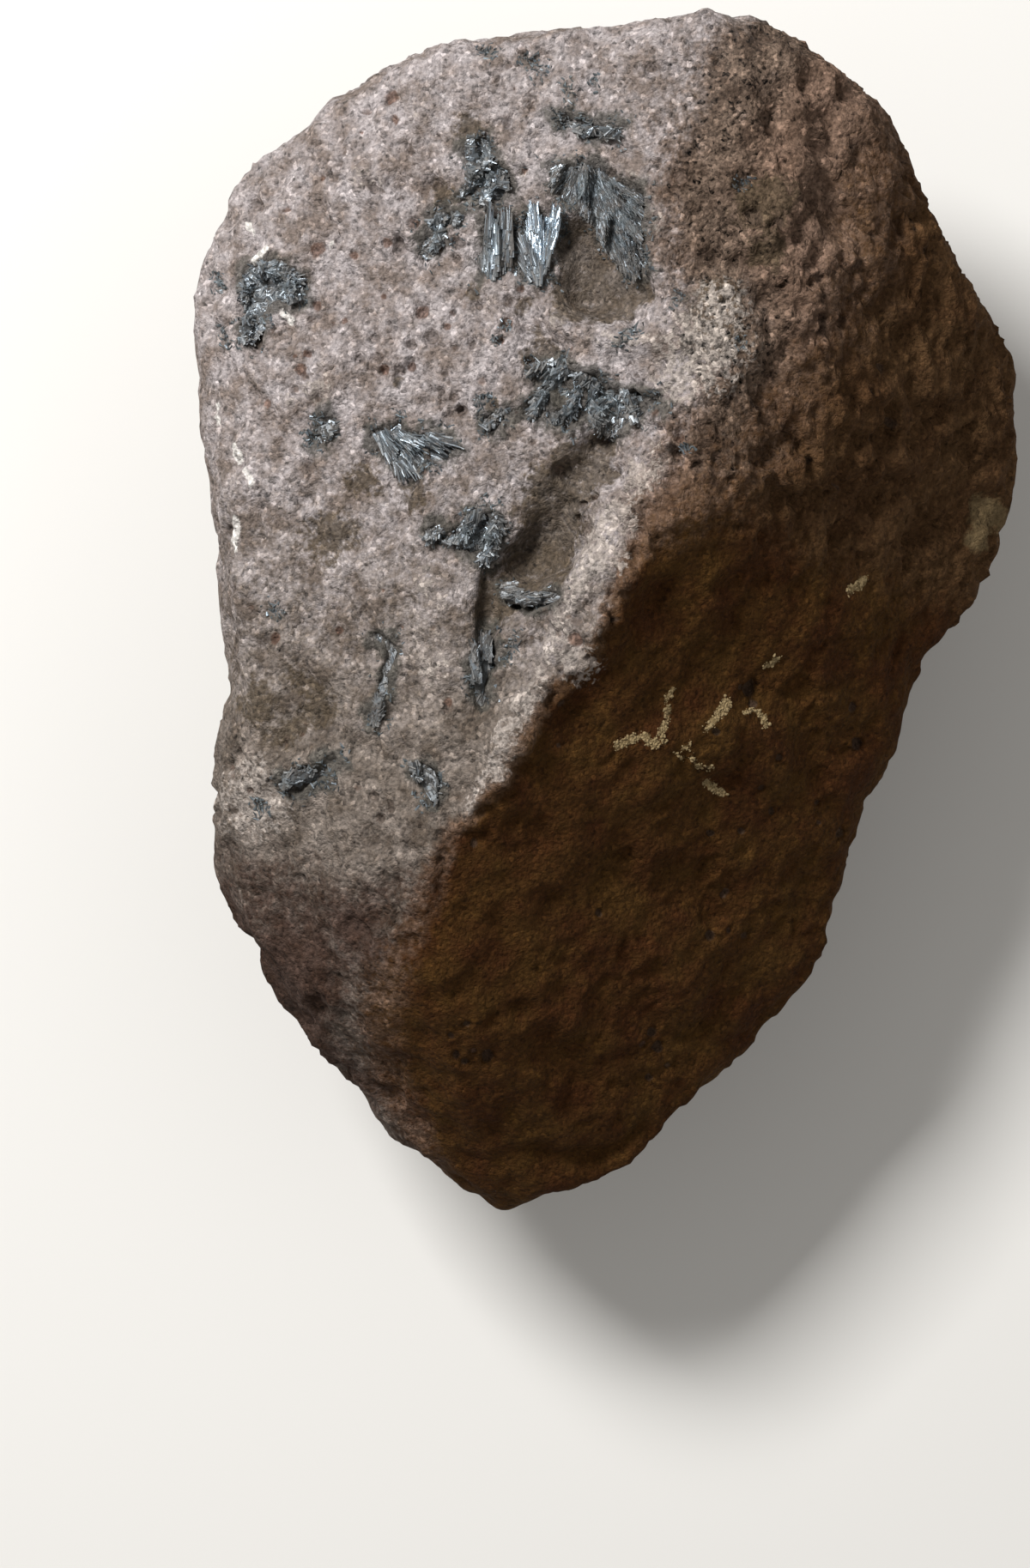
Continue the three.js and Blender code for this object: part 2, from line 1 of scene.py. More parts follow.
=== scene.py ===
"""Pyrolusite specimen: broken brown volcanic rock lying on its flat back, with crusts of dark
metallic pyrolusite blades in the hollows and seams of its fresh face. Metres, +Z up."""

import math

import bmesh
import bpy
import numpy as np
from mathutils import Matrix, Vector, noise
from mathutils.bvhtree import BVHTree


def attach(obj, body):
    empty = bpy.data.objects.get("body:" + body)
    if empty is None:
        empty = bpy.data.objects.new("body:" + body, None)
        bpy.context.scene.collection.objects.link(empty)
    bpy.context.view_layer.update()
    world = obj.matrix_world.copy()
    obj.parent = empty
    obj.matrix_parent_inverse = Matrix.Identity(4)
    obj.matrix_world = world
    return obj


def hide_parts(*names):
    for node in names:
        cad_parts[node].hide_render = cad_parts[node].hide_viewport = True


bl_info = {
    "name": "Pyrolusite specimen",
    "version": (1, 0, 0),
    "blender": (4, 5, 0),
    "location": "3D View > Sidebar > Specimen",
    "description": "Builds a lump of volcanic rock with pyrolusite crystals on a pale floor",
    "category": "Add Mesh",
}

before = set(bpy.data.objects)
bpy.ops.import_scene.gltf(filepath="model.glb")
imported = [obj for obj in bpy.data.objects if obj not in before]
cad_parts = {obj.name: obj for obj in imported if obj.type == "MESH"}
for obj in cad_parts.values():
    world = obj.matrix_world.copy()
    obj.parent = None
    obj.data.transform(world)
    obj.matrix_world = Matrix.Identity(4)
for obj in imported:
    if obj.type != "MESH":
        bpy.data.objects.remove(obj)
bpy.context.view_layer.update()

MM = 0.001
SEED = 7

# Rock form. Places are millimetres as seen from above, in the frame of the part.
CORE = np.array([0.65, 0.44, 30.0])
CAST_FROM = 150.0
BALL_DIVISIONS = 84
UPWARD_CROWDING = 0.34
BALL_STRETCH = np.array([43.5, 64.0, 33.0])
SMOOTH_PASSES = 26
SMOOTH_STEPS = (0.62, -0.58)
FILL_PASSES = 400
FILL_MARGIN = 0.9
ROUNDING_PASSES = 70
ROUNDING_STEP = 0.6
CREST_MARGIN = 0.7
# Depth of the crusts' hollows, how far the islands of rock in them rise again, depth of the marks
# of flecks, and height of the white chips
HOLLOW_DEPTH = 1.25
ISLAND_RISE = 0.7
FLECK_DEPTH = 0.25
CHALK_HEIGHT = 0.15
# Triangles nearer than this to a small thing, and higher than this, are cut finer
DETAIL_REACH = 0.75
DETAIL_ABOVE = 32
FAR = 1e9
# Where each zone starts and where it is full: distances inside its outline, from its line for the
# umber one, and along +Y for the tawny one, which is painted shade that darkens the fresh face
# towards the bottom. The rough zone is what the fresh face leaves, and its edge and the skin's are
# in shares of a width that grows away from the long crest.
ZONE_EDGES = {
    "rough": (-1, 1), "umber": (7.5, 1.0), "dusk": (-6, 7), "strip": (-4, 7), "skin": (-1, 1),
    "tawny": (25, -17),
}

# Each ridge or hollow: its line, the reach on each side, the height at its middle
RELIEF = [
    ("band along the crest", [(5.4, 16.3), (2.8, 12.8), (0.2, 8.9), (-2.0, 5.4), (-3.6, 1.0),
                              (-5.9, -4.2), (-8.5, -9.5), (-10.7, -13.9), (-13.4, -18.3)], 2.6, 0.9),
    ("crest of the long ridge", [(-16.5, -22.5), (-9.0, -14.2), (-5.0, -7.9), (-1.2, -2.3)], 1.5, 0.4),
    ("crest above the scoop", [(-1.2, -2.3), (1.6, 3.2), (5.2, 8.9), (10.4, 10.9)], 1.7, 0.5),
    ("lip of the rough face", [(7.6, 12.4), (12.9, 13.6), (20.0, 13.6), (30.5, 15.8)], 2.4, 0.8),
    ("trough beside the crest", [(-1.1, 16.9), (-3.7, 13.4), (-5.5, 9.9), (-7.2, 6.5), (-9.9, 3.0),
                                 (-12.3, 0.7)], 3.4, -1.5),
    ("scoop", [(-6.6, 8.4), (-6.0, 6.2)], 4.0, -0.8),
    ("notch of the crest", [(-1.1, 13.8), (0.6, 14.6)], 1.2, -0.7),
    ("groove below the knot", [(-12.3, 4.4), (-12.8, 0.4), (-13.1, -4.2), (-13.6, -9.6)], 1.4, -1.2),
    ("swell left of the groove", [(-18.7, 2.2), (-18.2, -6.0)], 4.0, 0.6),
    ("pit under the dark ledge", [(-2.8, 37.8), (-1.2, 36.2), (-2.4, 33.8)], 4.2, -2.3),
    ("foot of the pit", [(-5.0, 33.0), (-1.0, 31.6), (3.0, 32.4)], 3.0, -1.3),
    ("rim of the dark ledge", [(-6.3, 46.4), (-1.9, 47.0), (3.2, 44.4), (4.9, 39.6),
                               (4.6, 33.4)], 1.5, 0.6),
    ("edge of the lit shelf", [(-8.0, 30.4), (-3.6, 28.6), (2.2, 27.4), (7.0, 27.2)], 1.5, 0.8),
    ("dip left of the shelf", [(-9.0, 31.6), (-7.7, 28.8), (-6.3, 25.6)], 2.2, -1.0),
    ("rib of the rough face", [(11.9, 41.1), (16.3, 39.3), (19.0, 44.7)], 2.6, 0.9),
    ("long rib of the rough face", [(19.0, 36.0), (20.4, 28.0), (24.0, 20.0)], 2.6, 0.9),
    ("upper hollow of the rough face", [(15.6, 52.4), (17.4, 48.8)], 2.8, -1.2),
    ("side hollow of the rough face", [(21.6, 42.4), (24.4, 39.4)], 2.4, -1.1),
    ("second side hollow", [(25.6, 33.6), (27.2, 31.2)], 2.4, -0.9),
    ("long hollow of the rough face", [(15.4, 31.6), (17.0, 27.4), (16.6, 21.0)], 2.6, -1.0),
    ("right hollow of the rough face", [(31.0, 27.0), (33.6, 21.0)], 3.2, -0.9),
    ("dip at the left edge", [(-33.9, -5.8), (-29.6, -9.0), (-34.8, -12.9)], 3.4, -0.9),
    ("left shoulder", [(-33.0, 22.0), (-28.0, 26.0)], 3.6, 0.5),
    ("top swell", [(-26.0, 46.0), (-20.0, 52.0)], 4.0, 0.5),
    ("swell of the skin", [(12.2, -12.6), (16.8, -15.4)], 5.0, 0.8),
    ("second swell of the skin", [(2.0, -34.0), (8.0, -40.0)], 5.0, 0.8),
    ("hollow of the skin", [(7.4, -28.0), (11.6, -30.6)], 4.5, -1.0),
    ("low hollow of the skin", [(-6.0, -46.0), (-2.0, -50.0)], 4.0, -0.9),
    ("swell of the right edge", [(43.4, 24.0), (43.4, 14.0), (41.4, 6.0), (39.6, 2.0)], 6.0, 0.8),
    ("dip at the top right edge", [(19.5, 62.5), (23.6, 59.5), (27.5, 56.5)], 5.0, -0.9),
    ("dip at the top left edge", [(-28.7, 57.2), (-35.6, 51.7)], 4.5, -0.9),
    ("lower ledge", [(-7.6, -57.2), (-1.4, -58.4), (4.2, -55.2)], 1.8, -0.9),
]

# Unevenness: the size of its lumps, and its seed
NOISES = {
    "wander": (2.6, 1), "shiver": (0.9, 2), "coarse": (5.5, 3), "middle": (2.4, 4),
    "fine": (1.2, 5), "billow": (2.1, 6), "slope": (8.0, 9), "drift": (7.0, 10),
    "islands": (1.5, 11), "ragged": (1.7, 12), "crumbling": (0.8, 13), "border": (7.0, 14),
    "small_slope": (2.6, 15), "level": (6.0, 16), "lumps": (3.0, 1), "chips": (1.7, 2),
}
# Heights of the unevenness on each kind of surface
UNEVENNESS = {
    "fresh": {"coarse": 0.4, "middle": 0.25, "fine": 0.15, "lumps": 0.2, "chips": 0.15},
    "broken": {"coarse": 0.7, "billow": 0.55, "fine": 0.3, "lumps": 0.4, "chips": 0.3},
    "skin": {"coarse": 0.5, "middle": 0.35, "fine": 0.12, "lumps": 0.15},
    "side": {"coarse": 0.5, "billow": 0.3, "fine": 0.2, "lumps": 0.3},
    "weathered": {"coarse": 0.8, "billow": 0.3, "middle": 0.4, "fine": 0.3, "lumps": 0.3},
}

# Outlines of the kinds of surface on the upper side
FRESH_EDGE = [
    (17.3, 61.1), (14.6, 53.2), (12.8, 48.9), (11.9, 41.9), (13.5, 35.8), (14.6, 32.4), (13.7, 29.8),
    (11.9, 26.2), (10.2, 22.3), (7.6, 19.3), (5.0, 16.7), (3.4, 13.3), (2.6, 9.7), (1.4, 6.2),
    (0.2, 1.8), (-0.9, -2.1), (-2.7, -5.6), (-4.8, -7.6), (-7.6, -11.0), (-9.0, -13.8),
    (-10.7, -17.1), (-13.4, -19.8), (-15.1, -22.1), (-16.5, -22.7),
]
STRIP_EDGE = [(-16.5, -22.7), (-20.4, -24.4), (-25.8, -26.2), (-34.1, -26.3), (-44.0, -25.5)]
SKIN_SIDE = [(-16.5, -22.7), (-19.6, -29.7), (-23.0, -36.0), (-25.6, -42.2), (-24.6, -48.2),
             (-21.0, -55.8), (-16.6, -62.5)]
SKIN_TOP = [(-0.9, -2.1), (2.3, 5.0), (6.7, 9.2), (12.0, 10.2), (16.6, 8.7), (22.3, 6.4),
            (29.1, 4.9), (34.9, 2.3), (44.0, -1.0)]
# Edges of the CAD rock that are rounded over here
ROUNDED_EDGES = [FRESH_EDGE[:11], STRIP_EDGE, SKIN_SIDE, SKIN_TOP[2:]]
# Where the light grey of the fresh face ends towards the rough face
PALE_LIMIT = [(18.2, 64.6), (15.4, 54.1), (10.2, 49.0), (7.6, 44.7), (6.3, 39.5), (6.8, 35.1),
              (12.0, 32.8), (13.9, 29.8), (11.9, 25.3), (8.9, 21.0), (6.3, 17.5)]
# The part of the rough face that turns away to the right, painted darker there as painted shade
DUSK = [(34, 64), (28, 48), (24, 35), (18, 23), (10, 14), (3, 8), (-6, -2), (-16, -18), (-18, -30),
        (80, -30), (80, 80)]
FRESH = PALE_LIMIT + FRESH_EDGE[11:] + SKIN_SIDE[1:] + [(-16, -90), (-70, -90), (-70, 90), (20, 90)]
STRIP = STRIP_EDGE + [(-70, -25), (-70, -90), (-12, -90)] + SKIN_SIDE[::-1][:-1]
SKIN = SKIN_TOP + [(80, -1), (80, -90), (-12, -90)] + SKIN_SIDE[::-1] + FRESH_EDGE[-2:15:-1]

# Places of small things: x, y and radius
BROWN_VESICLES = [
    (-30.4, 38.0, 1.0), (-22.8, 53.8, 1.0), (-9.0, 45.4, 0.6), (-11.0, 41.1, 0.7), (-32.1, 25.4, 0.9),
    (-23.2, 38.3, 0.7), (-30.5, 32.1, 0.8), (-10.7, 29.6, 0.8), (-11.6, 27.8, 0.6), (-31.5, 27.0, 0.5),
    (-32.7, 26.8, 0.3), (-26.6, 37.2, 0.6), (-25.9, 50.2, 0.4), (-22.3, 51.1, 0.5), (-23.4, 25.2, 0.8),
    (-20.7, 25.4, 0.6), (-27.5, 30.4, 0.4), (-19.6, 31.1, 0.9), (-16.9, -9.2, 0.5), (-35.7, 21.9, 0.6),
    (-28.1, -1.8, 0.6), (-3.9, -2.9, 0.8), (-13.4, -8.7, 0.8), (-23.4, 2.3, 0.3), (-34.8, -2.5, 0.8),
    (-21.6, -1.5, 0.3), (-18.1, 37.8, 0.8), (-33.8, 42.3, 0.5), (-16.9, 29.5, 0.5), (-23.6, 32.8, 0.4),
    (-30.2, 45.6, 0.5), (-9.3, 33.3, 0.5),
]
FLECKS = [
    (-13.6, 21.6, 0.9), (-12.5, 22.1, 0.7), (-10.1, -3.3, 0.9), (-10.9, -4.6, 0.8), (-9.5, -2.3, 0.6),
    (-34.7, -0.1, 0.9), (-35.2, 0.8, 0.7), (-41.1, 34.8, 0.9), (-41.4, 35.6, 0.8), (-40.9, 29.9, 0.7),
    (-40.2, 28.6, 0.7), (-10.8, 29.5, 0.8), (-11.6, 27.9, 0.7), (1.7, 28.0, 0.9), (1.0, 27.3, 0.7),
    (2.6, 28.6, 0.7), (6.8, 31.6, 0.9), (13.5, 43.6, 0.8), (13.0, 43.1, 0.6), (-12.5, 58.0, 0.9),
    (-13.2, 58.6, 0.8), (-8.1, 56.6, 1.0), (-7.0, 55.9, 0.9), (-9.0, 57.2, 0.8), (-5.0, 54.0, 0.8),
    (-3.9, 52.4, 0.8), (-1.9, 54.3, 0.6), (7.6, 16.5, 0.7), (12.8, 27.6, 0.6), (2.0, 34.8, 0.8),
    (-36.7, -20.1, 1.0), (-9.2, 38.6, 1.1), (-9.2, 36.8, 1.1), (-9.0, 35.2, 0.8), (-6.4, 34.4, 0.8),
    (2.4, 34.8, 0.9), (3.0, 36.6, 0.8),
]
FILM_LINES = [
    [(6.4, -7.8), (5.8, -9.2), (6.0, -10.8), (5.2, -12.2), (5.2, -13.3)],
    [(0.6, -13.9), (2.1, -13.0), (3.6, -12.7), (4.5, -13.6), (5.4, -13.3)],
    [(12.0, -9.2), (11.2, -10.2), (10.5, -11.3), (9.7, -12.0)],
    [(8.3, -13.3), (7.7, -14.0), (6.9, -14.5), (7.6, -15.2)],
    [(8.3, -13.6), (8.5, -14.9), (9.1, -15.8), (10.4, -15.8)],
    [(14.0, -10.2), (15.1, -9.8), (16.0, -10.7), (16.2, -11.4)],
    [(10.1, -17.7), (11.2, -18.4), (11.6, -18.5)],
    [(25.2, 2.7), (26.2, 3.0), (26.8, 3.7)],
    [(16.4, -5.6), (17.6, -4.9)],
]
CHALK_LINES = [
    [(-41.3, 22.2), (-41.0, 20.2)], [(-39.2, 17.6), (-38.9, 16.3)], [(-38.1, 15.2), (-37.2, 13.3)],
    [(-37.6, 14.8), (-37.0, 13.9)], [(-38.9, 10.0), (-39.2, 6.8)], [(-37.1, 37.4), (-35.9, 38.2)],
    [(-37.9, 41.0), (-37.2, 40.0)], [(-34.0, 31.3), (-33.0, 30.6)], [(-7.8, 45.7), (-7.9, 44.8)],
    [(-28.9, 38.5), (-29.1, 37.9)],
]
# The passage from the fresh face into the brown of the rough face, where the face turns from the
# light: its grey brown is partly the rock's own olive brown and partly painted shade
UMBER_LINE = [(17.0, 59.6), (14.4, 55.6), (11.4, 51.7), (10.4, 46.4), (10.4, 40.3), (10.4, 34.1),
              (12.8, 29.6), (13.8, 23.7), (11.2, 17.6)]
# Pale feldspar, and painted light: pale spots on the lit crest band and on the shelf facing the light
PALE_AND_LIT_SPOTS = [
    (9.6, 26.6, 5.6), (11.2, 31.0, 3.6), (6.6, 23.4, 3.2), (3.0, 13.6, 2.6), (-37.2, -19.2, 5.0),
    (-3.4, -5.4, 2.6), (-1.0, 5.6, 3.0), (0.6, 9.6, 2.6), (-9.2, 45.0, 0.7),
]
# Iron stain and painted shade: olive-brown spots that darken the pit, the scoop and shaded slopes
RUST_AND_SHADE_SPOTS = [
    (-2.6, 36.6, 4.4), (-0.8, 33.6, 4.2), (-4.4, 31.6, 3.4), (-6.4, 9.4, 4.6), (-7.0, 5.0, 4.0),
    (-4.0, 15.0, 3.2), (-12.4, 21.4, 1.3), (-6.0, 22.0, 1.2), (-14.0, 33.0, 1.4), (-29.0, 8.0, 4.0),
    (-20.0, 12.0, 2.6), (-14.7, 49.9, 2.6), (-17.4, 42.9, 2.2), (-6.3, 13.4, 3.4),
    (-25.8, 13.7, 2.6), (-8.1, 25.8, 1.8), (-36.6, -9.3, 3.4), (-21.8, 23.6, 1.0), (9.8, 27.4, 4.8),
    (11.4, 31.6, 3.4), (15.4, 41.4, 4.4), (16.0, 36.6, 3.0),
]
OCHRE_SPOTS = [(40.6, 11.1, 2.6), (39.4, 8.4, 1.8)]
# Painted glints: places where the crystals are painted with the bright blade colour, as painted
# highlights
PAINTED_GLINTS = [
    (-7.0, 39.4, 2.6), (-7.2, 37.8, 1.6), (-11.8, 39.6, 0.7), (-11.9, 38.2, 0.7), (-11.9, 36.6, 0.7),
    (-13.2, 35.2, 0.5), (-3.8, 43.1, 1.0), (-5.6, 44.9, 1.2), (-4.4, 24.4, 0.9), (-3.9, 22.8, 0.7),
    (1.1, 18.7, 0.9), (-5.0, 18.9, 0.7), (-12.1, 7.6, 0.8), (-22.8, 19.3, 0.8), (-19.6, 17.7, 0.9),
    (-20.5, 16.4, 0.7), (-34.3, 33.8, 1.5), (-34.8, 35.2, 0.8), (-14.1, 43.4, 0.5), (-17.0, 40.3, 0.5),
    (-14.7, 40.9, 0.5), (-1.9, 49.8, 0.8), (0.3, 49.2, 0.5), (-12.5, 58.0, 0.8), (-8.5, 56.7, 0.8),
    (-10.7, 19.0, 0.6), (-12.7, 22.1, 0.5), (-9.0, 18.9, 0.5),
]

# Crystal crusts: each one's outline, and how its blades lie. They fan out from a focus, or run
# along an angle in degrees from +X, with some spread, and lift off the rock by up to an angle.
# Length and width are a blade's in mm, dense is blades a square mm, a higher dull leaves fewer
# blades painted bright, gleam makes its painted glints stronger, and a whole crust has no islands of
# rock in it.
CRUSTS = {
    "upper_cluster": dict(
        focus=(-13.8, 46.4), spread=120, length=1.0, width=0.5, lift=30, dense=11, dull=3, outline=[
            (-14.5, 49.3), (-12.7, 49.1), (-12.2, 46.7), (-10.6, 45.4), (-10.6, 43.3), (-11.6, 41.7),
            (-14.3, 42.5), (-15.8, 42.9), (-14.7, 45.0), (-15.1, 47.4)
        ]),
    "upper_left_sprig": dict(
        focus=(-15.3, 41.5), spread=120, length=0.9, width=0.5, lift=30, dense=11, dull=3, outline=[
            (-19.2, 40.4), (-18.0, 41.2), (-16.5, 41.5), (-15.1, 41.3), (-15.4, 40.3), (-16.8, 39.8),
            (-17.3, 38.3), (-18.3, 36.7), (-19.5, 37.1), (-19.8, 38.8)
        ]),
    "striped_seam": dict(
        angle=88, spread=4, length=3.2, width=0.4, lift=6, dense=12, dull=2.4, gleam=2.4, whole=True,
        outline=[
            (-13.1, 40.3), (-11.6, 40.7), (-10.2, 40.4), (-10.0, 38.5), (-10.2, 36.2), (-11.2, 36.0),
            (-12.3, 34.8), (-13.4, 34.6), (-13.8, 35.9), (-13.2, 37.7)
        ]),
    "radiating_fan": dict(
        focus=(-7.2, 32.4), spread=6, length=2.4, width=0.34, lift=8, dense=22, dull=1.3, gleam=2.6,
        whole=True, outline=[
            (-8.8, 40.9), (-7.2, 41.0), (-5.4, 40.6), (-5.3, 39.2), (-6.0, 37.5), (-6.3, 35.7),
            (-7.2, 34.4), (-8.8, 34.7), (-9.1, 36.0), (-9.1, 38.0)
        ]),
    "dark_ledge": dict(
        focus=(-2.8, 47.6), spread=20, length=0.9, width=0.3, lift=9, dense=20, dull=6, whole=True,
        outline=[
            (-6.3, 45.8), (-4.1, 46.1), (-1.0, 45.4), (0.9, 43.9), (3.2, 42.8), (3.4, 40.9),
            (3.0, 38.5), (3.4, 36.3), (2.7, 33.9), (1.6, 34.8), (0.4, 36.4), (-1.0, 38.4),
            (-1.7, 40.5), (-3.7, 41.8), (-5.4, 42.6), (-6.0, 44.1)
        ]),
    "left_cluster": dict(
        focus=(-35.2, 37.6), spread=120, length=1.0, width=0.5, lift=30, dense=11, dull=2, outline=[
            (-38.3, 36.8), (-36.8, 37.1), (-34.6, 36.9), (-32.7, 36.3), (-32.0, 34.6), (-32.2, 32.8),
            (-33.6, 32.1), (-35.7, 32.3), (-36.5, 31.2), (-36.1, 30.0), (-37.3, 28.3), (-38.3, 28.7),
            (-38.6, 30.1), (-37.9, 31.6), (-38.7, 34.5)
        ]),
    "centre_cluster": dict(
        focus=(-3.2, 26.6), spread=70, length=1.1, width=0.5, lift=28, dense=11, dull=3.5, outline=[
            (-7.9, 25.6), (-5.4, 25.9), (-3.9, 24.5), (-1.9, 24.1), (0.3, 23.0), (2.5, 22.4),
            (4.6, 22.0), (4.9, 20.6), (3.3, 19.8), (1.6, 18.7), (0.0, 18.1), (-1.0, 18.8),
            (-2.6, 19.5), (-4.2, 18.8), (-6.3, 19.6), (-9.1, 19.8), (-10.7, 19.3), (-12.3, 18.8),
            (-13.2, 19.2), (-13.2, 20.2), (-11.8, 20.7), (-8.4, 21.6), (-7.7, 23.1), (-8.4, 24.4)
        ]),
    "needle_spray": dict(
        focus=(-24.6, 20.2), spread=16, length=2.2, width=0.36, lift=12, dense=11, dull=2, outline=[
            (-24.8, 18.9), (-23.6, 19.4), (-22.1, 19.9), (-21.4, 18.8), (-18.0, 18.7), (-16.4, 17.9),
            (-16.1, 16.8), (-17.1, 15.8), (-18.9, 15.3), (-20.0, 14.6), (-21.6, 14.7), (-22.5, 15.2),
            (-23.4, 16.7), (-24.5, 17.6)
        ]),
    "left_outlier": dict(
        angle=55, spread=90, length=0.9, width=0.5, lift=26, dense=10, dull=5, outline=[
            (-29.9, 20.3), (-28.6, 20.5), (-28.2, 19.5), (-29.0, 18.5), (-30.0, 17.3), (-30.8, 16.9),
            (-30.6, 18.2)
        ]),
    "lower_knot": dict(
        focus=(-12.4, 11.4), spread=70, length=1.1, width=0.5, lift=28, dense=11, dull=3.5, outline=[
            (-19.4, 8.1), (-18.2, 8.8), (-16.1, 8.6), (-14.5, 10.1), (-13.2, 10.3), (-11.4, 10.1),
            (-10.9, 8.8), (-11.8, 5.7), (-13.0, 5.1), (-14.6, 5.8), (-15.5, 6.9), (-18.9, 7.4)
        ]),
    "flat_seam": dict(
        angle=2, spread=30, length=1.1, width=0.45, lift=20, dense=10, dull=5, outline=[
            (-10.9, 3.0), (-10.0, 3.2), (-9.3, 2.1), (-5.0, 2.0), (-5.1, 1.1), (-8.4, 0.6),
            (-10.0, 1.0), (-10.9, 1.7)
        ]),
    "groove_seam": dict(
        angle=86, spread=30, length=1.1, width=0.45, lift=20, dense=10, dull=6, outline=[
            (-13.7, -2.5), (-12.7, -2.1), (-12.2, -3.4), (-12.2, -5.4), (-12.9, -7.6), (-12.7, -9.0),
            (-13.4, -9.8), (-14.1, -8.7), (-14.3, -6.8), (-14.4, -4.5)
        ]),
    "curved_vein": dict(
        angle=80, spread=60, length=0.8, width=0.4, lift=22, dense=10, dull=7, outline=[
            (-25.0, -2.1), (-24.1, -1.8), (-23.0, -2.1), (-22.1, -4.0), (-23.0, -6.7), (-23.5, -10.7),
            (-24.2, -12.0), (-24.8, -11.6), (-24.1, -7.4), (-23.4, -4.4), (-23.9, -3.3), (-24.8, -3.0)
        ]),
    "lower_left_patch": dict(
        angle=25, spread=60, length=1.0, width=0.45, lift=24, dense=10, dull=5, outline=[
            (-34.4, -16.6), (-32.6, -16.5), (-31.1, -16.3), (-29.8, -15.0), (-28.4, -14.7),
            (-27.9, -15.6), (-29.1, -16.7), (-30.8, -17.7), (-32.2, -18.8), (-33.8, -18.3)
        ]),
    "lower_right_patch": dict(
        angle=-60, spread=60, length=0.9, width=0.45, lift=22, dense=10, dull=6, outline=[
            (-20.7, -15.4), (-19.4, -15.4), (-18.2, -16.3), (-17.6, -17.8), (-18.0, -19.6),
            (-19.1, -19.1), (-20.0, -17.5)
        ]),
    "top_stringer": dict(
        angle=-8, spread=60, length=1.0, width=0.45, lift=26, dense=10, dull=3, outline=[
            (-5.6, 50.6), (-4.1, 50.7), (-2.4, 50.1), (0.9, 49.7), (0.9, 48.4), (-2.4, 48.9),
            (-4.2, 49.5), (-5.4, 49.7)
        ]),
}

BLADE_PAINT = "Bladed pyrolusite with a metallic lustre"
# The sides that blades grow out towards, and how far the faces that bear them turn that way
CRUSTS_FACE = (-0.25, 0.04, 0.97)
FLECKS_FACE = (-0.2, 0.0, 0.98)
LEAST_FACING = 0.05
# Tone of the crushed base under the blades, from 0, dark, to 1, the bright colour of the painted
# glints
BASE_TONE = 0.12
# Flecks a square mm, and crumbs a square mm along their streaks
FLECK_DENSITY = 9.0
CRUMB_DENSITY = 44.0
# Lone blades are short, lie at nearly any angle and are nearly all dull
FLECK_BLADES = {
    "Length": 0.6 * MM, "Width": 0.34 * MM, "Focus": (0, 0, 0), "Fan": 0.0, "Run": 0.9,
    "Spread": 2.4, "Lift": 0.5, "Dullness": 10.0}
# Chances of a blade: how far it turns, lifts and rolls, in shares of its crust's angles and in
# radians for the roll, its length, width and thickness in shares of the crust's, and its tone
BLADE_CHANCES = {
    "turn": (-1.0, 1.0), "lift": (-0.25, 1.0), "roll": (-1.1, 1.1), "long": (0.35, 1.2),
    "wide": (0.4, 1.5), "thick": (0.6, 1.4), "tone": (0.0, 1.0)}

# Zones of the rock's colour, each laid over those before it: its attribute, lighter and darker
# colour, the size of its blotches, and the contrast of its specks
ZONES = [
    ("fresh", "fresh", "fresh_dark", "small", 1.0),
    # The tawny zone is painted shade: the fresh face darker and browner towards the bottom
    ("tawny", "tawny", "lower_shade_dark", "small", 1.0),
    ("rough", "rough", "rough_dark", "small", 1.1),
    # The umber passage is partly olive-brown rock and partly painted shade
    ("umber", "umber", "umber_shade_dark", "small", 1.6),
    # The dusk zone is painted shade on the side turned from the light
    ("dusk", "dusk", "dusk_dark", "large", 0.7),
    ("strip", "strip", "strip_dark", "small", 0.8),
    ("skin", "skin", "skin_dark", "large", 0.7),
    ("weathered", "back", "back_dark", "large", 0.8),
]
# What lies over the zones: its attribute, colour, how strongly it covers, and how noise breaks it
OVERLAYS = [
    ("rust", "rust", 0.8, 1.8),
    ("pale", "pale", 0.6, 4.6),
    ("ochre", "ochre", 0.9, 1.2),
    ("stain", "stain", 0.8, 1.6),
    ("fleck", "stain", 0.5, 1.0),
    ("pit", "pit", 0.55, 0.6),
    ("brown", "brown", 0.75, 0.6),
    ("film", "film", 0.5, 2.2),
    ("chalk", "chalk", 0.85, 2.2),
]

# Small gas holes spread about: a region, the number of groups, and the least and largest radius
VESICLE_REGIONS = [
    ((-40, 22, -14, 48), 26, (0.3, 1.0)),
    ((-30, 40, 8, 60), 16, (0.28, 0.8)),
    ((-16, 14, 8, 36), 16, (0.3, 0.9)),
    ((-42, -24, -14, 20), 18, (0.28, 0.8)),
    ((-14, -18, -2, 14), 5, (0.28, 0.6)),
    ((10, 12, 34, 52), 12, (0.4, 0.9)),
    ((-20, -56, 26, 2), 12, (0.4, 0.9)),
]

# Camera and lights, in metres, and how much the camera sees from top to bottom
CAMERA_PLACE = (-0.00985, -0.01768, 0.580)
CAMERA_HEIGHT_ANGLE = math.radians(17.49)
CAMERA_NEAR = 0.01
LIGHTS = {
    "key_light": ((-0.32, 0.34, 0.54), 0.2),
    "fill_light": ((0.55, -0.12, 0.6), 0.8),
}
LIGHTS_AIM = (0, 0, 0.04)
SKY_COLOUR = "#f1efec"


def linear(code):
    """An sRGB hex colour as linear red, green, blue and alpha."""
    shares = [int(code[i : i + 2], 16) / 255 for i in (1, 3, 5)]
    return [s / 12.92 if s <= 0.04045 else ((s + 0.055) / 1.055) ** 2.4 for s in shares] + [1.0]


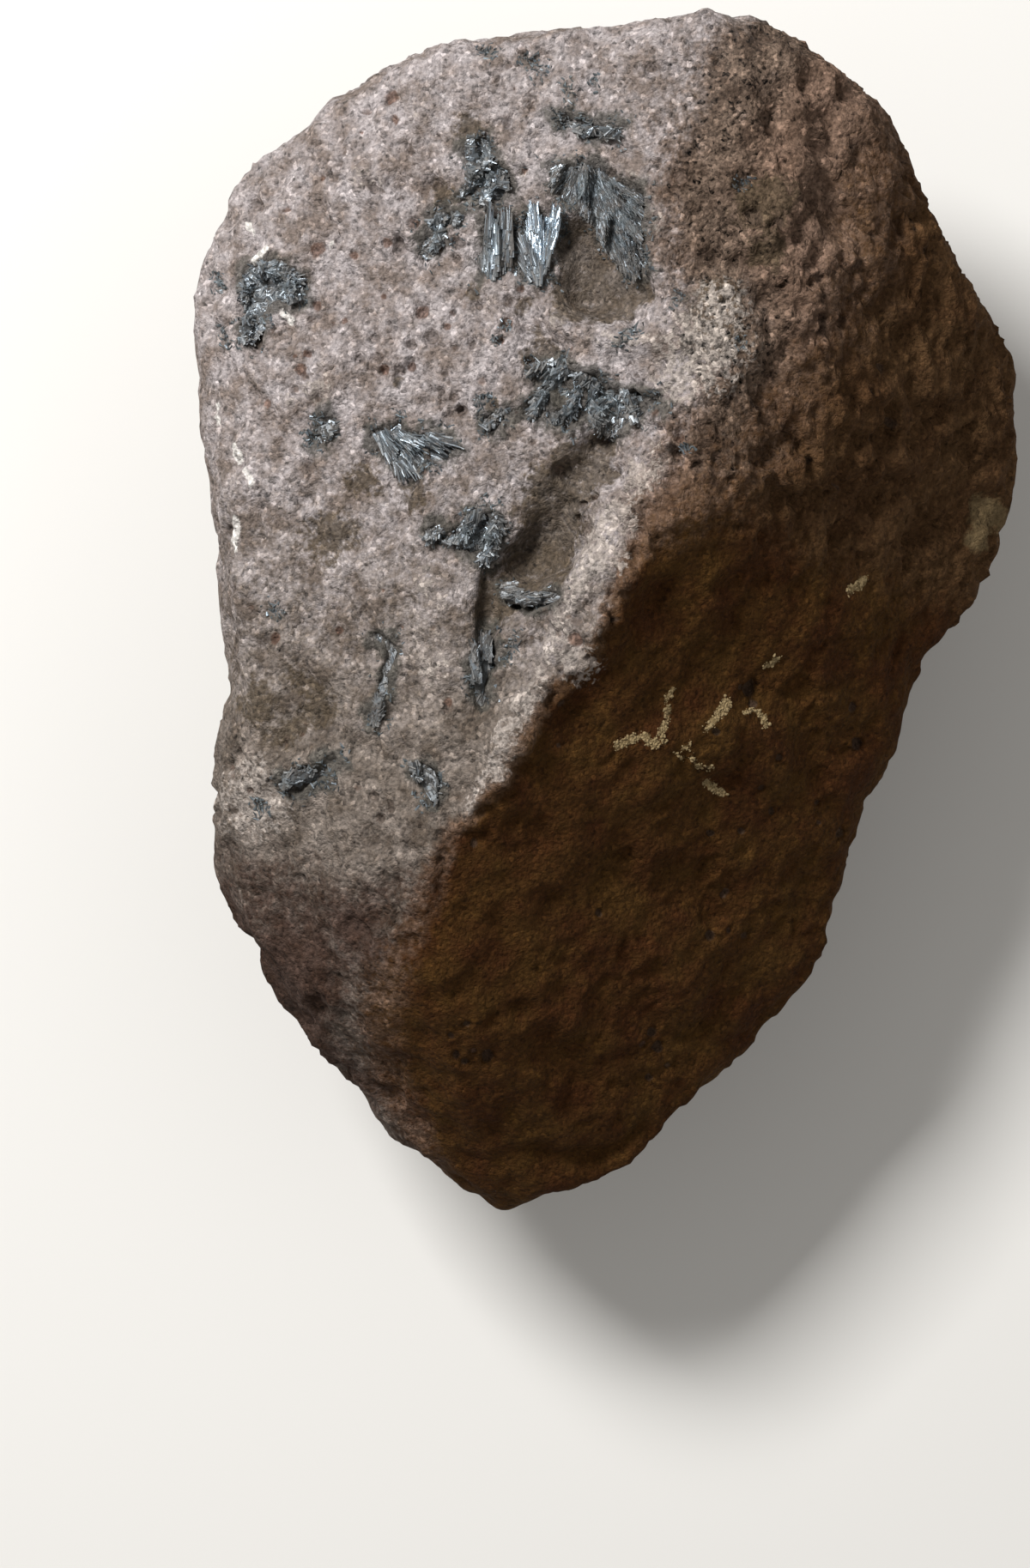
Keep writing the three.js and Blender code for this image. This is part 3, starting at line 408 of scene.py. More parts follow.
def add(tree, kind, inputs=None, **settings):
    """Adds a node with its settings, and sets or links its inputs, which go by name or by number.
    In a Map Range, 1 to 4 are the old range and the new one. In a Mix, 0 is the share, and 2 and 3,
    or 6 and 7 for colours, are what it mixes. A node given as an input is its first output."""
    node = tree.nodes.new(kind)
    for name, value in settings.items():
        setattr(node, name, value)
    for socket, value in (inputs or {}).items():
        if isinstance(value, bpy.types.Node):
            value = value.outputs[0]
        if isinstance(value, bpy.types.NodeSocket):
            tree.links.new(value, node.inputs[socket])
        else:
            node.inputs[socket].default_value = value
    return node


def new_tree(name, sockets):
    """A geometry tree with a mesh going in and out, and named inputs for its sizes."""
    tree = bpy.data.node_groups.new(name, "GeometryNodeTree")
    tree.interface.new_socket("Mesh", in_out="INPUT", socket_type="NodeSocketGeometry")
    tree.interface.new_socket("Mesh", in_out="OUTPUT", socket_type="NodeSocketGeometry")
    for label, kind in sockets.items():
        tree.interface.new_socket(label, in_out="INPUT", socket_type="NodeSocket" + kind)
    return tree, add(tree, "NodeGroupInput").outputs


def paint_attributes(mesh, attributes):
    """Stores one number a point under each name, for the trees and materials to read."""
    for name, values in attributes.items():
        layer = mesh.attributes.new(name, "FLOAT", "POINT")
        layer.data.foreach_set("value", values.astype(np.float32))


def run_tree(piece, tree, values):
    """Runs a tree on a piece with its inputs set, and keeps the result as a plain mesh."""
    modifier = piece.modifiers.new(tree.name, "NODES")
    modifier.node_group = tree
    for item in tree.interface.items_tree:
        if item.in_out == "INPUT" and item.name in values:
            modifier[item.identifier] = values[item.name]
    graph = bpy.context.evaluated_depsgraph_get()
    made = bpy.data.meshes.new_from_object(
        piece.evaluated_get(graph), preserve_all_data_layers=True, depsgraph=graph)
    piece.modifiers.remove(modifier)
    old = piece.data
    piece.data = made
    made.name = piece.name
    bpy.data.meshes.remove(old)


def new_piece(name, mesh):
    """Puts a mesh in the scene as a piece at the origin."""
    piece = bpy.data.objects.new(name, mesh)
    bpy.context.scene.collection.objects.link(piece)
    return piece


def smoothstep(low, high, value):
    """0 at low and 1 at high, with a smooth passage between. Low may be above high."""
    share = np.clip((value - low) / (high - low), 0, 1)
    return share * share * (3 - 2 * share)


def unevenness(points, kind):
    """Smooth noise of a kind from about -1 to 1, at points in millimetres. The kind's seed moves
    it to another place in the noise."""
    size, seed = NOISES[kind]
    scaled = (points / size + seed * 13.7 + 5.3).tolist()
    return np.array([noise.noise(p) for p in scaled])


def line_distance(places, line):
    """Distance of places, seen from above, to a line of points."""
    best = np.full(len(places), FAR)
    for start, end in zip(np.array(line[:-1]), np.array(line[1:])):
        run = end - start
        share = np.clip((places - start) @ run / (run @ run), 0, 1)
        gap = np.linalg.norm(places - start - share[:, None] * run, axis=1)
        best = np.minimum(best, gap)
    return best


def inside_distance(places, outline):
    """Distance to a closed outline seen from above, positive inside it."""
    closed = list(outline) + [outline[0]]
    inside = np.zeros(len(places), bool)
    x, y = places[:, 0], places[:, 1]
    for (ax, ay), (bx, by) in zip(closed[:-1], closed[1:]):
        if ay != by:
            inside ^= ((ay > y) != (by > y)) & (x < ax + (y - ay) / (by - ay) * (bx - ax))
    return np.where(inside, 1.0, -1.0) * line_distance(places, closed)


def chunks(points, kind):
    """Broken lumps of a kind with grooves between them, each at its own height from -1 to 1."""
    size, seed = NOISES[kind]
    scaled = (points / size + seed * 9.1 + 2.7).tolist()
    found = [noise.voronoi(p) for p in scaled]
    gap = np.array([near[1] - near[0] for near, _ in found])
    level = np.array([noise.cell(centres[0] * 7.3) for _, centres in found]) * 2 - 1
    return smoothstep(0.0, 0.35, gap) * level


def spot_amount(places, spots, softness):
    """1 in the middle of round spots, falling to 0 at their edges."""
    amount = np.zeros(len(places))
    for x, y, radius in spots:
        reach = np.hypot(places[:, 0] - x, places[:, 1] - y) / radius
        amount = np.maximum(amount, 1 - smoothstep(1 - softness, 1 + softness * 0.3, reach))
    return amount


def streak_amount(places, lines, core, edge, stray):
    """1 along lines, to a core distance on each side, falling to 0 at the edge."""
    amount = np.zeros(len(places))
    for line in lines:
        amount = np.maximum(amount, 1 - smoothstep(core, edge, line_distance(places, line) + stray))
    return amount


def painted_glint_amount(places, gleam=1.0):
    """How strongly the crystals are painted with the bright glint colour, as painted highlights: high
    at the glints, low elsewhere.
    """
    return 0.45 + 0.55 * gleam * spot_amount(places, PAINTED_GLINTS, 0.5)


def make_ball(divisions):
    """Unit directions and triangles: an icosahedron with each edge cut into equal parts."""
    start = bmesh.new()
    bmesh.ops.create_icosphere(start, subdivisions=1, radius=1)
    start.verts.ensure_lookup_table()
    corners = np.array([v.co for v in start.verts])
    faces = np.array([[v.index for v in f.verts] for f in start.faces])
    start.free()
    grid = [(i, j) for i in range(divisions + 1) for j in range(divisions + 1 - i)]
    at = {cell: n for n, cell in enumerate(grid)}
    small = []
    for i, j in grid:
        if i + j < divisions:
            small.append((at[i, j], at[i + 1, j], at[i, j + 1]))
        if i + j < divisions - 1:
            small.append((at[i + 1, j], at[i + 1, j + 1], at[i, j + 1]))
    weights = np.array([(divisions - i - j, i, j) for i, j in grid]) / divisions
    points = np.concatenate([weights @ corners[face] for face in faces])
    triangles = np.concatenate([np.array(small) + n * len(grid) for n in range(len(faces))])
    unique, inverse = np.unique(np.round(points, 6), axis=0, return_inverse=True)
    unique /= np.linalg.norm(unique, axis=1, keepdims=True)
    return unique, inverse.reshape(-1)[triangles]


def refine(points, triangles, chosen):
    """Cuts the chosen triangles into four, and splits their neighbours to match."""
    ends = np.sort(np.stack([triangles, np.roll(triangles, -1, axis=1)], axis=2), axis=2)
    edges, sides = np.unique(ends.reshape(-1, 2), axis=0, return_inverse=True)
    sides = sides.reshape(-1, 3)
    cut = np.zeros(len(edges), bool)
    cut[sides[chosen]] = True
    while (cut[sides].sum(axis=1) == 2).any():
        cut[sides[cut[sides].sum(axis=1) == 2]] = True
    middle = np.full(len(edges), -1)
    middle[cut] = len(points) + np.arange(cut.sum())
    mids = middle[sides]
    count = (mids >= 0).sum(axis=1)
    a, b, c = triangles[count == 3].T
    p, q, r = mids[count == 3].T
    made = [triangles[count == 0]]
    made += [np.stack(t, axis=1) for t in ((a, p, r), (p, b, q), (r, q, c), (p, q, r))]
    for k in range(3):
        some = (count == 1) & (mids[:, k] >= 0)
        a, b, c = np.roll(triangles[some], -k, axis=1).T
        p = mids[some, k]
        made += [np.stack(t, axis=1) for t in ((a, p, c), (p, b, c))]
    return np.concatenate([points, points[edges[cut]].mean(axis=1)]), np.concatenate(made)


def neighbour_mean(values, triangles, count):
    """Mean of each point's neighbours, for one value a point."""
    first = triangles.reshape(-1)
    second = np.roll(triangles, -1, axis=1).reshape(-1)
    total = np.bincount(first, values[second], count) + np.bincount(second, values[first], count)
    number = np.bincount(first, minlength=count) + np.bincount(second, minlength=count)
    return total / number


def outward(points, triangles):
    """Unit normal at each point."""
    a, b, c = points[triangles.T]
    face = np.cross(b - a, c - a)
    at = triangles.reshape(-1)
    total = [np.bincount(at, np.repeat(face[:, k], 3), len(points)) for k in range(3)]
    total = np.stack(total, axis=1)
    return total / np.linalg.norm(total, axis=1, keepdims=True)


def cad_surface(directions, triangles):
    """Points on the CAD rock along each direction, with its crystal hollows filled again."""
    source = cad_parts["host_rock"].data
    corners = np.array([v.co for v in source.vertices]) / MM
    tree = BVHTree.FromPolygons(corners.tolist(), [list(p.vertices) for p in source.polygons])
    starts = (CORE + directions * CAST_FROM).tolist()
    casts = [tree.ray_cast(s, d)[3] for s, d in zip(starts, (-directions).tolist())]
    radius = CAST_FROM - np.array(casts)
    places = (CORE + directions * radius[:, None])[:, :2]
    hollow = np.zeros(len(radius), bool)
    for crust in CRUSTS.values():
        hollow |= inside_distance(places, crust["outline"]) > -FILL_MARGIN
    hollow &= directions[:, 2] > 0.1
    for _ in range(FILL_PASSES):
        mean = neighbour_mean(radius, triangles, len(radius))
        radius[hollow] = mean[hollow]
    # A step in and a step out smooth the facets without shrinking the rock
    for step in range(SMOOTH_PASSES):
        mean = neighbour_mean(radius, triangles, len(radius))
        radius += SMOOTH_STEPS[step % 2] * (mean - radius)
    places = (CORE + directions * radius[:, None])[:, :2]
    near = streak_amount(places, ROUNDED_EDGES, 2, 8, 0)
    near *= smoothstep(0.05, 0.4, directions[:, 2])
    for _ in range(ROUNDING_PASSES):
        mean = neighbour_mean(radius, triangles, len(radius))
        radius += ROUNDING_STEP * near * (mean - radius)
    return CORE + directions * radius[:, None]


def make_vesicles():
    """Gas holes of the lava: the brown ones that were seen, and many small ones spread about.
    Each is x, y, radius and how far it is lined with brown."""
    rng = np.random.default_rng(SEED)
    holes = [(x, y, r, 1.0) for x, y, r in BROWN_VESICLES]
    for (x0, y0, x1, y1), groups, (small, large) in VESICLE_REGIONS:
        for _ in range(groups):
            # A group has one to five holes, most of them small
            x, y = rng.uniform(x0, x1), rng.uniform(y0, y1)
            for _ in range(rng.integers(1, 6)):
                size = small + (large - small) * rng.random() ** 2.4
                dx, dy = rng.normal(0, 1.7, 2)
                holes.append((x + dx, y + dy, size, 0.6 * rng.random() ** 2))
    return holes


def rock_form(vesicles):
    """The plain rock's points and triangles, cut finer where small things will be."""
    directions, triangles = make_ball(BALL_DIVISIONS)
    directions = directions + np.array([0, 0, UPWARD_CROWDING])
    directions /= np.linalg.norm(directions, axis=1, keepdims=True)
    directions *= BALL_STRETCH
    directions /= np.linalg.norm(directions, axis=1, keepdims=True)
    points = cad_surface(directions, triangles)
    centres = points[triangles].mean(axis=1)
    places = centres[:, :2]
    near = np.full(len(places), FAR)
    for crust in CRUSTS.values():
        near = np.minimum(near, np.abs(inside_distance(places, crust["outline"])))
    for x, y, radius, _ in vesicles:
        near = np.minimum(near, np.hypot(places[:, 0] - x, places[:, 1] - y) - radius + 0.3)
    for line in FILM_LINES + CHALK_LINES:
        near = np.minimum(near, line_distance(places, line))
    return refine(points, triangles, (near < DETAIL_REACH) & (centres[:, 2] > DETAIL_ABOVE))


def surface_kinds(points, normals, wander):
    """Three things for each point: how far it belongs to the upper side, the colour zones, which
    lie over one another, and its share of each kind of surface. The edges of the zones are sharp
    along the long crest and some millimetres wide elsewhere."""
    places = points[:, :2]
    x, y = places.T
    # The upper side is high enough and faces up or outwards, and its border is uneven
    steep = normals[:, 2] + 0.28 * unevenness(points, "slope")
    steep += 0.16 * unevenness(points, "small_slope")
    upper = smoothstep(2, 20, points[:, 2] + 5 * unevenness(points, "level"))
    upper *= smoothstep(-0.75, 0.12, steep)
    stray = 2.4 * unevenness(points, "drift") + 1.6 * wander
    fresh_edge = 0.8 + 2.6 * smoothstep(4, 14, y)
    fresh = inside_distance(places, FRESH) - CREST_MARGIN + np.minimum(fresh_edge, 2.0) * wander
    fresh += 2.2 * unevenness(points, "border") * smoothstep(12, 24, y)
    skin_edge = 0.5 + 3.6 * smoothstep(2, 12, x) + 4.0 * smoothstep(-14, -22, x)
    skin = inside_distance(places, SKIN) - CREST_MARGIN + np.minimum(skin_edge, 1.6) * 0.8 * wander
    reach = {
        "rough": fresh / fresh_edge,
        "umber": line_distance(places, UMBER_LINE) + 0.8 * stray,
        "dusk": inside_distance(places, DUSK) + stray,
        "strip": inside_distance(places, STRIP) + 1.8 * stray,
        "skin": skin / skin_edge,
        "tawny": y + 2 * stray,
    }
    zones = {name: smoothstep(*ZONE_EDGES[name], far) for name, far in reach.items()}
    zones["rough"] = 1 - zones["rough"]
    zones["dusk"] *= zones["rough"]
    zones["weathered"] = 1 - upper
    rough, strip, skin = zones["rough"], zones["strip"], zones["skin"]
    # The rough face is less broken where it falls away
    flat = 0.35 + 0.65 * smoothstep(0.0, 0.5, normals[:, 2])
    shares = {
        "fresh": upper * (1 - rough) * (1 - strip) * (1 - skin),
        "broken": upper * rough * (1 - strip) * (1 - skin) * flat,
        "side": upper * strip * (1 - skin),
        "skin": upper * skin,
        "weathered": zones["weathered"],
    }
    return upper, zones, shares


def rock_points():
    """The rock's points and triangles, with attributes for its kinds of surface."""
    vesicles = make_vesicles()
    points, triangles = rock_form(vesicles)
    normals = outward(points, triangles)
    places = points[:, :2]
    wander = 0.9 * unevenness(points, "wander") + 0.6 * unevenness(points, "shiver")
    upper, zones, shares = surface_kinds(points, normals, wander)
    fresh = shares["fresh"]
    nothing = np.zeros(len(points))

    # Relief: ridges and hollows first, then unevenness of each kind of surface
    rise = nothing.copy()
    for _, line, reach, height in RELIEF:
        off = line_distance(places, line) / (reach * (1 + 0.25 * wander))
        rise += upper * height * np.where(off < 1, (1 - off**2) ** 2, 0)
    relief = rise.copy()
    coarse, middle, fine = (unevenness(points, kind) for kind in ("coarse", "middle", "fine"))
    # Lumps are drawn out down the slopes, so that they look as wide as long from above
    drawn = points * np.array([1, 1, 0.6]) + 0.5 * np.stack([middle, fine, coarse], axis=1)
    bumps = {
        "coarse": coarse,
        "middle": middle,
        "fine": fine,
        "billow": 0.5 - np.abs(unevenness(drawn, "billow")) * 1.6,
        "lumps": chunks(drawn, "lumps"),
        "chips": chunks(drawn, "chips"),
    }
    for kind, heights in UNEVENNESS.items():
        rise += shares[kind] * sum(height * bumps[name] for name, height in heights.items())
    # The long crest crumbles
    crest = upper * streak_amount(places, [FRESH_EDGE[9:]], 0.5, 3.2, 0)
    rise += crest * (0.4 * middle + 0.35 * fine + 0.2 * unevenness(points, "crumbling"))
    # Dips of the fresh face are painted darker with the iron-stain colour, as painted shade in the
    # hollows, and its high spots paler, as painted light
    form = relief + 0.5 * coarse + 0.4 * middle + 0.2 * fine
    dip_shade = fresh * smoothstep(0.15, 1.2, -form)
    raised_light = fresh * smoothstep(0.2, 1.1, form)

    # The crusts lie in hollows, with a stain round them and flecks along their margins
    hollow, whole, stain, margin = nothing, nothing, nothing, nothing
    for crust in CRUSTS.values():
        inside = inside_distance(places, crust["outline"]) + 0.55 * wander
        bed = smoothstep(-0.2, 0.75, inside)
        hollow = np.maximum(hollow, bed)
        if "whole" in crust:
            whole = np.maximum(whole, bed)
        stain = np.maximum(stain, smoothstep(-2.0, 0.4, inside + 1.1 * middle + 0.5 * fine))
        rim = smoothstep(-1.6, -0.3, inside) * (1 - smoothstep(0.2, 1.0, inside))
        margin = np.maximum(margin, rim)
    islands = smoothstep(0.1, 0.45, unevenness(points, "islands")) * (1 - whole)
    rise -= upper * hollow * (HOLLOW_DEPTH - ISLAND_RISE * islands)
    aslant = wander[:, None] * np.array([1, -0.7])
    ragged = smoothstep(0.0, 0.3, unevenness(points, "ragged"))
    fleck = spot_amount(places + 0.5 * aslant, FLECKS, 0.5)
    fleck = upper * np.maximum(fleck, 0.75 * margin * ragged)
    rise -= FLECK_DEPTH * fleck

    # Gas holes are bowls, and some have a brown lining; their insides are painted darker as painted
    # shade
    pit, lined = nothing, nothing
    for x, y, radius, brown in vesicles:
        off = np.hypot(places[:, 0] - x, places[:, 1] - y) / radius * (1 + 0.4 * fine + 0.3 * middle)
        bowl = upper * np.where(off < 1.1, 1 - smoothstep(0.5, 1.1, off), 0)
        pit = np.maximum(pit, bowl * (1 - 0.5 * brown))
        rise -= bowl * radius * (0.95 - 0.35 * brown)
        lined = np.maximum(lined, bowl * brown)

    # Iron stain, with painted shade in the pit, the scoop and on slopes turned from the light
    rust = spot_amount(places + 1.3 * aslant, RUST_AND_SHADE_SPOTS, 0.8) * upper
    chalk = streak_amount(places, CHALK_LINES, 0.1, 0.5, 0.4 * wander)
    chalk *= smoothstep(10, 20, points[:, 2])
    rise += CHALK_HEIGHT * chalk

    # The face that the rock rests on stays flat
    free = smoothstep(0.2, 2.0, points[:, 2])
    points = points + normals * (rise * free)[:, None]
    points[:, 2] = np.where(points[:, 2] < 0.05, 0, points[:, 2])
    attributes = dict(
        zones,
        fresh=fresh,
        broken=shares["broken"] + 0.5 * zones["weathered"],
        pit=pit,
        rust=np.maximum(rust, 0.95 * dip_shade),
        stain=stain * upper,
        fleck=fleck,
        film=streak_amount(places, FILM_LINES, 0.0, 0.55, 0.45 * wander) * upper,
        chalk=chalk,
        brown=lined,
        # Painted glints: how strongly the blades are painted with the bright glint colour
        shine=painted_glint_amount(places),
        # Pale grains, and painted light on the lit crest, the shelf and the high spots
        pale=np.maximum(spot_amount(places, PALE_AND_LIT_SPOTS, 0.9) * upper, 0.8 * raised_light),
        ochre=spot_amount(places, OCHRE_SPOTS, 0.7) * smoothstep(20, 30, points[:, 2]),
        grain=free * (1 - 0.45 * shares["skin"]),
    )
    return points, triangles, attributes


def grain_tree():
    """Broken grain: small lumps over the whole rock, stronger where the surface is rough."""
    tree, given = new_tree("Broken grain", {
        "Lump size": "Float", "Lump height": "Float", "Grain size": "Float",
        "Grain height": "Float", "Material": "Material"})
    place = add(tree, "GeometryNodeInputPosition")
    lump_scale = add(tree, "ShaderNodeMath", {0: 1.0, 1: given["Lump size"]}, operation="DIVIDE")
    grain_scale = add(tree, "ShaderNodeMath", {0: 1.0, 1: given["Grain size"]}, operation="DIVIDE")
    cells = add(tree, "ShaderNodeTexVoronoi", {
        "Vector": place, "Scale": lump_scale, "Smoothness": 0.35}, feature="SMOOTH_F1")
    grains = add(tree, "ShaderNodeTexNoise", {"Vector": place, "Scale": grain_scale, "Detail": 2.0})
    rough, share = (
        add(tree, "GeometryNodeInputNamedAttribute", {"Name": name}, data_type="FLOAT")
        for name in ("broken", "grain"))
    dome = add(tree, "ShaderNodeMapRange", {
        "Value": cells.outputs["Distance"], 1: 0.0, 2: 0.8, 3: 1.0, 4: -1.0})
    amount = add(tree, "ShaderNodeMapRange", {"Value": rough, 3: 0.22, 4: 1.0})
    high = add(tree, "ShaderNodeMath", {0: dome, 1: given["Lump height"]}, operation="MULTIPLY")
    high = add(tree, "ShaderNodeMath", {0: high, 1: amount}, operation="MULTIPLY")
    centred = add(tree, "ShaderNodeMath", {0: grains, 1: 0.5}, operation="SUBTRACT")
    small = add(tree, "ShaderNodeMath", {0: centred, 1: given["Grain height"], 2: high},
                operation="MULTIPLY_ADD")
    freed = add(tree, "ShaderNodeMath", {0: small, 1: share}, operation="MULTIPLY")
    normal = add(tree, "GeometryNodeInputNormal")
    shift = add(tree, "ShaderNodeVectorMath", {0: normal, 3: freed}, operation="SCALE")
    moved = add(tree, "GeometryNodeSetPosition", {"Geometry": given["Mesh"], "Offset": shift})
    real = add(tree, "GeometryNodeRealizeInstances", {0: moved})
    painted = add(tree, "GeometryNodeSetMaterial", {"Geometry": real, "Material": given["Material"]})
    add(tree, "NodeGroupOutput", {"Mesh": painted})
    return tree


def blade_tree():
    """Crystal blades: tapered laths scattered over a surface, fanning from a focus or along a run."""
    tree, given = new_tree("Crystal blades", {
        "Density": "Float", "Density name": "String", "Length": "Float", "Width": "Float",
        "Thickness": "Float", "Focus": "Vector", "Fan": "Float", "Run": "Float",
        "Spread": "Float", "Lift": "Float", "Dullness": "Float", "Facing": "Vector",
        "Keep base": "Bool", "Seed": "Int", "Material": "Material"})
    field, shine = (
        add(tree, "GeometryNodeInputNamedAttribute", {"Name": name}, data_type="FLOAT")
        for name in (given["Density name"], "shine"))
    dense = add(tree, "ShaderNodeMath", {0: field, 1: given["Density"]}, operation="MULTIPLY")
    normal = add(tree, "GeometryNodeInputNormal")
    along = add(tree, "ShaderNodeVectorMath", {0: normal, 1: given["Facing"]},
                operation="DOT_PRODUCT")
    faces_up = add(tree, "FunctionNodeCompare", {0: along.outputs["Value"], 1: LEAST_FACING},
                   operation="GREATER_THAN")
    roots = add(tree, "GeometryNodeDistributePointsOnFaces", {
        "Mesh": given["Mesh"], "Selection": faces_up, "Density": dense, "Seed": given["Seed"]})
    place = add(tree, "GeometryNodeInputPosition")
    offset = add(tree, "ShaderNodeVectorMath", {0: place, 1: given["Focus"]}, operation="SUBTRACT")
    x, y, _ = add(tree, "ShaderNodeSeparateXYZ", {0: offset}).outputs
    radial = add(tree, "ShaderNodeMath", {0: y, 1: x}, operation="ARCTAN2")
    run = add(tree, "ShaderNodeMix", {0: given["Fan"], 2: given["Run"], 3: radial},
              data_type="FLOAT")
    chance = {
        name: add(tree, "FunctionNodeRandomValue", {2: low, 3: high, "Seed": seed},
                  data_type="FLOAT").outputs[1]
        for seed, (name, (low, high)) in enumerate(BLADE_CHANCES.items(), 1)}
    turn = add(tree, "ShaderNodeMath", {0: chance["turn"], 1: given["Spread"], 2: run},
               operation="MULTIPLY_ADD")
    lift = add(tree, "ShaderNodeMath", {0: chance["lift"], 1: given["Lift"]}, operation="MULTIPLY")
    down = add(tree, "ShaderNodeMath", {0: lift, 1: -1.0}, operation="MULTIPLY")
    local = add(tree, "ShaderNodeCombineXYZ", {0: chance["roll"], 1: down, 2: turn})
    local = add(tree, "FunctionNodeEulerToRotation", {0: local})
    base = add(tree, "FunctionNodeAlignRotationToVector", {"Vector": given["Facing"]}, axis="Z")
    turned = add(tree, "FunctionNodeRotateRotation", {0: base, 1: local}, rotation_space="LOCAL")
    size = add(tree, "ShaderNodeCombineXYZ", {
        axis: add(tree, "ShaderNodeMath", {0: chance[name], 1: given[label]}, operation="MULTIPLY")
        for axis, name, label in ((0, "long", "Length"), (1, "wide", "Width"),
                                  (2, "thick", "Thickness"))})
    # A lath is a six-sided cone, one unit long and wide, laid along X across its point
    lath = add(tree, "GeometryNodeMeshCone", {
        "Vertices": 6, "Radius Top": 0.16, "Radius Bottom": 0.5, "Depth": 1.0})
    lying = add(tree, "GeometryNodeTransform", {
        "Geometry": lath, "Translation": (-0.4, 0, 0), "Rotation": (0, math.pi / 2, 0)})
    laths = add(tree, "GeometryNodeInstanceOnPoints", {
        "Points": roots, "Instance": lying, "Rotation": turned, "Scale": size})
    # Painted glints: the tone, higher at the glint places, mixes in the bright blade colour
    tone = add(tree, "ShaderNodeMath", {0: chance["tone"], 1: given["Dullness"]},
               operation="POWER")
    tone = add(tree, "ShaderNodeMath", {0: tone, 1: shine}, operation="MULTIPLY")
    toned = add(tree, "GeometryNodeStoreNamedAttribute", {
        "Geometry": laths, "Name": "tone", "Value": tone}, data_type="FLOAT", domain="INSTANCE")
    base_toned = add(tree, "GeometryNodeStoreNamedAttribute", {
        "Geometry": given["Mesh"], "Name": "tone", "Value": BASE_TONE}, data_type="FLOAT",
        domain="POINT")
    base_mesh = add(tree, "GeometryNodeSwitch", {"Switch": given["Keep base"], "True": base_toned},
                    input_type="GEOMETRY")
    real = add(tree, "GeometryNodeRealizeInstances", {0: toned})
    joined = add(tree, "GeometryNodeJoinGeometry", {0: real})
    tree.links.new(base_mesh.outputs[0], joined.inputs[0])
    flat = add(tree, "GeometryNodeSetShadeSmooth", {"Geometry": joined, "Shade Smooth": False})
    painted = add(tree, "GeometryNodeSetMaterial", {"Geometry": flat, "Material": given["Material"]})
    add(tree, "NodeGroupOutput", {"Mesh": painted})
    return tree


def crumb_tree():
    """Mineral crumbs: small uneven grains scattered thickly along streaks."""
    tree, given = new_tree("Mineral crumbs", {
        "Density": "Float", "Density name": "String", "Crumb size": "Float", "Seed": "Int",
        "Material": "Material"})
    field = add(tree, "GeometryNodeInputNamedAttribute", {"Name": given["Density name"]},
                data_type="FLOAT")
    dense = add(tree, "ShaderNodeMath", {0: field, 1: given["Density"]}, operation="MULTIPLY")
    points = add(tree, "GeometryNodeDistributePointsOnFaces", {
        "Mesh": given["Mesh"], "Density": dense, "Seed": given["Seed"]})
    # Each crumb has proportions and a turn of its own, and a bulk that is mostly small
    share, turn = (
        add(tree, "FunctionNodeRandomValue", {0: low, 1: high, "Seed": seed},
            data_type="FLOAT_VECTOR")
        for low, high, seed in (((0.45, 0.45, 0.3), (1.4, 1.2, 0.9), 1),
                                ((-0.5, -0.5, 0.0), (0.5, 0.5, 6.28), 2)))
    chance = add(tree, "FunctionNodeRandomValue", {2: 0.0, 3: 1.0, "Seed": 3}, data_type="FLOAT")
    few = add(tree, "ShaderNodeMath", {0: chance.outputs[1], 1: 2.6}, operation="POWER")
    bulk = add(tree, "ShaderNodeMapRange", {"Value": few, 3: 0.45, 4: 1.9})
    bulk = add(tree, "ShaderNodeMath", {0: bulk, 1: given["Crumb size"]}, operation="MULTIPLY")
    size = add(tree, "ShaderNodeVectorMath", {0: share, 3: bulk}, operation="SCALE")
    turned = add(tree, "FunctionNodeEulerToRotation", {0: turn})
    crumb = add(tree, "GeometryNodeMeshIcoSphere", {"Radius": 0.5, "Subdivisions": 1})
    crumbs = add(tree, "GeometryNodeInstanceOnPoints", {
        "Points": points, "Instance": crumb, "Rotation": turned, "Scale": size})
    real = add(tree, "GeometryNodeRealizeInstances", {0: crumbs})
    painted = add(tree, "GeometryNodeSetMaterial", {"Geometry": real, "Material": given["Material"]})
    add(tree, "NodeGroupOutput", {"Mesh": painted})
    return tree


def new_paint(name):
    """An empty material and its tree."""
    material = bpy.data.materials.new(name)
    material.use_nodes = True
    material.node_tree.nodes.clear()
    return material, material.node_tree


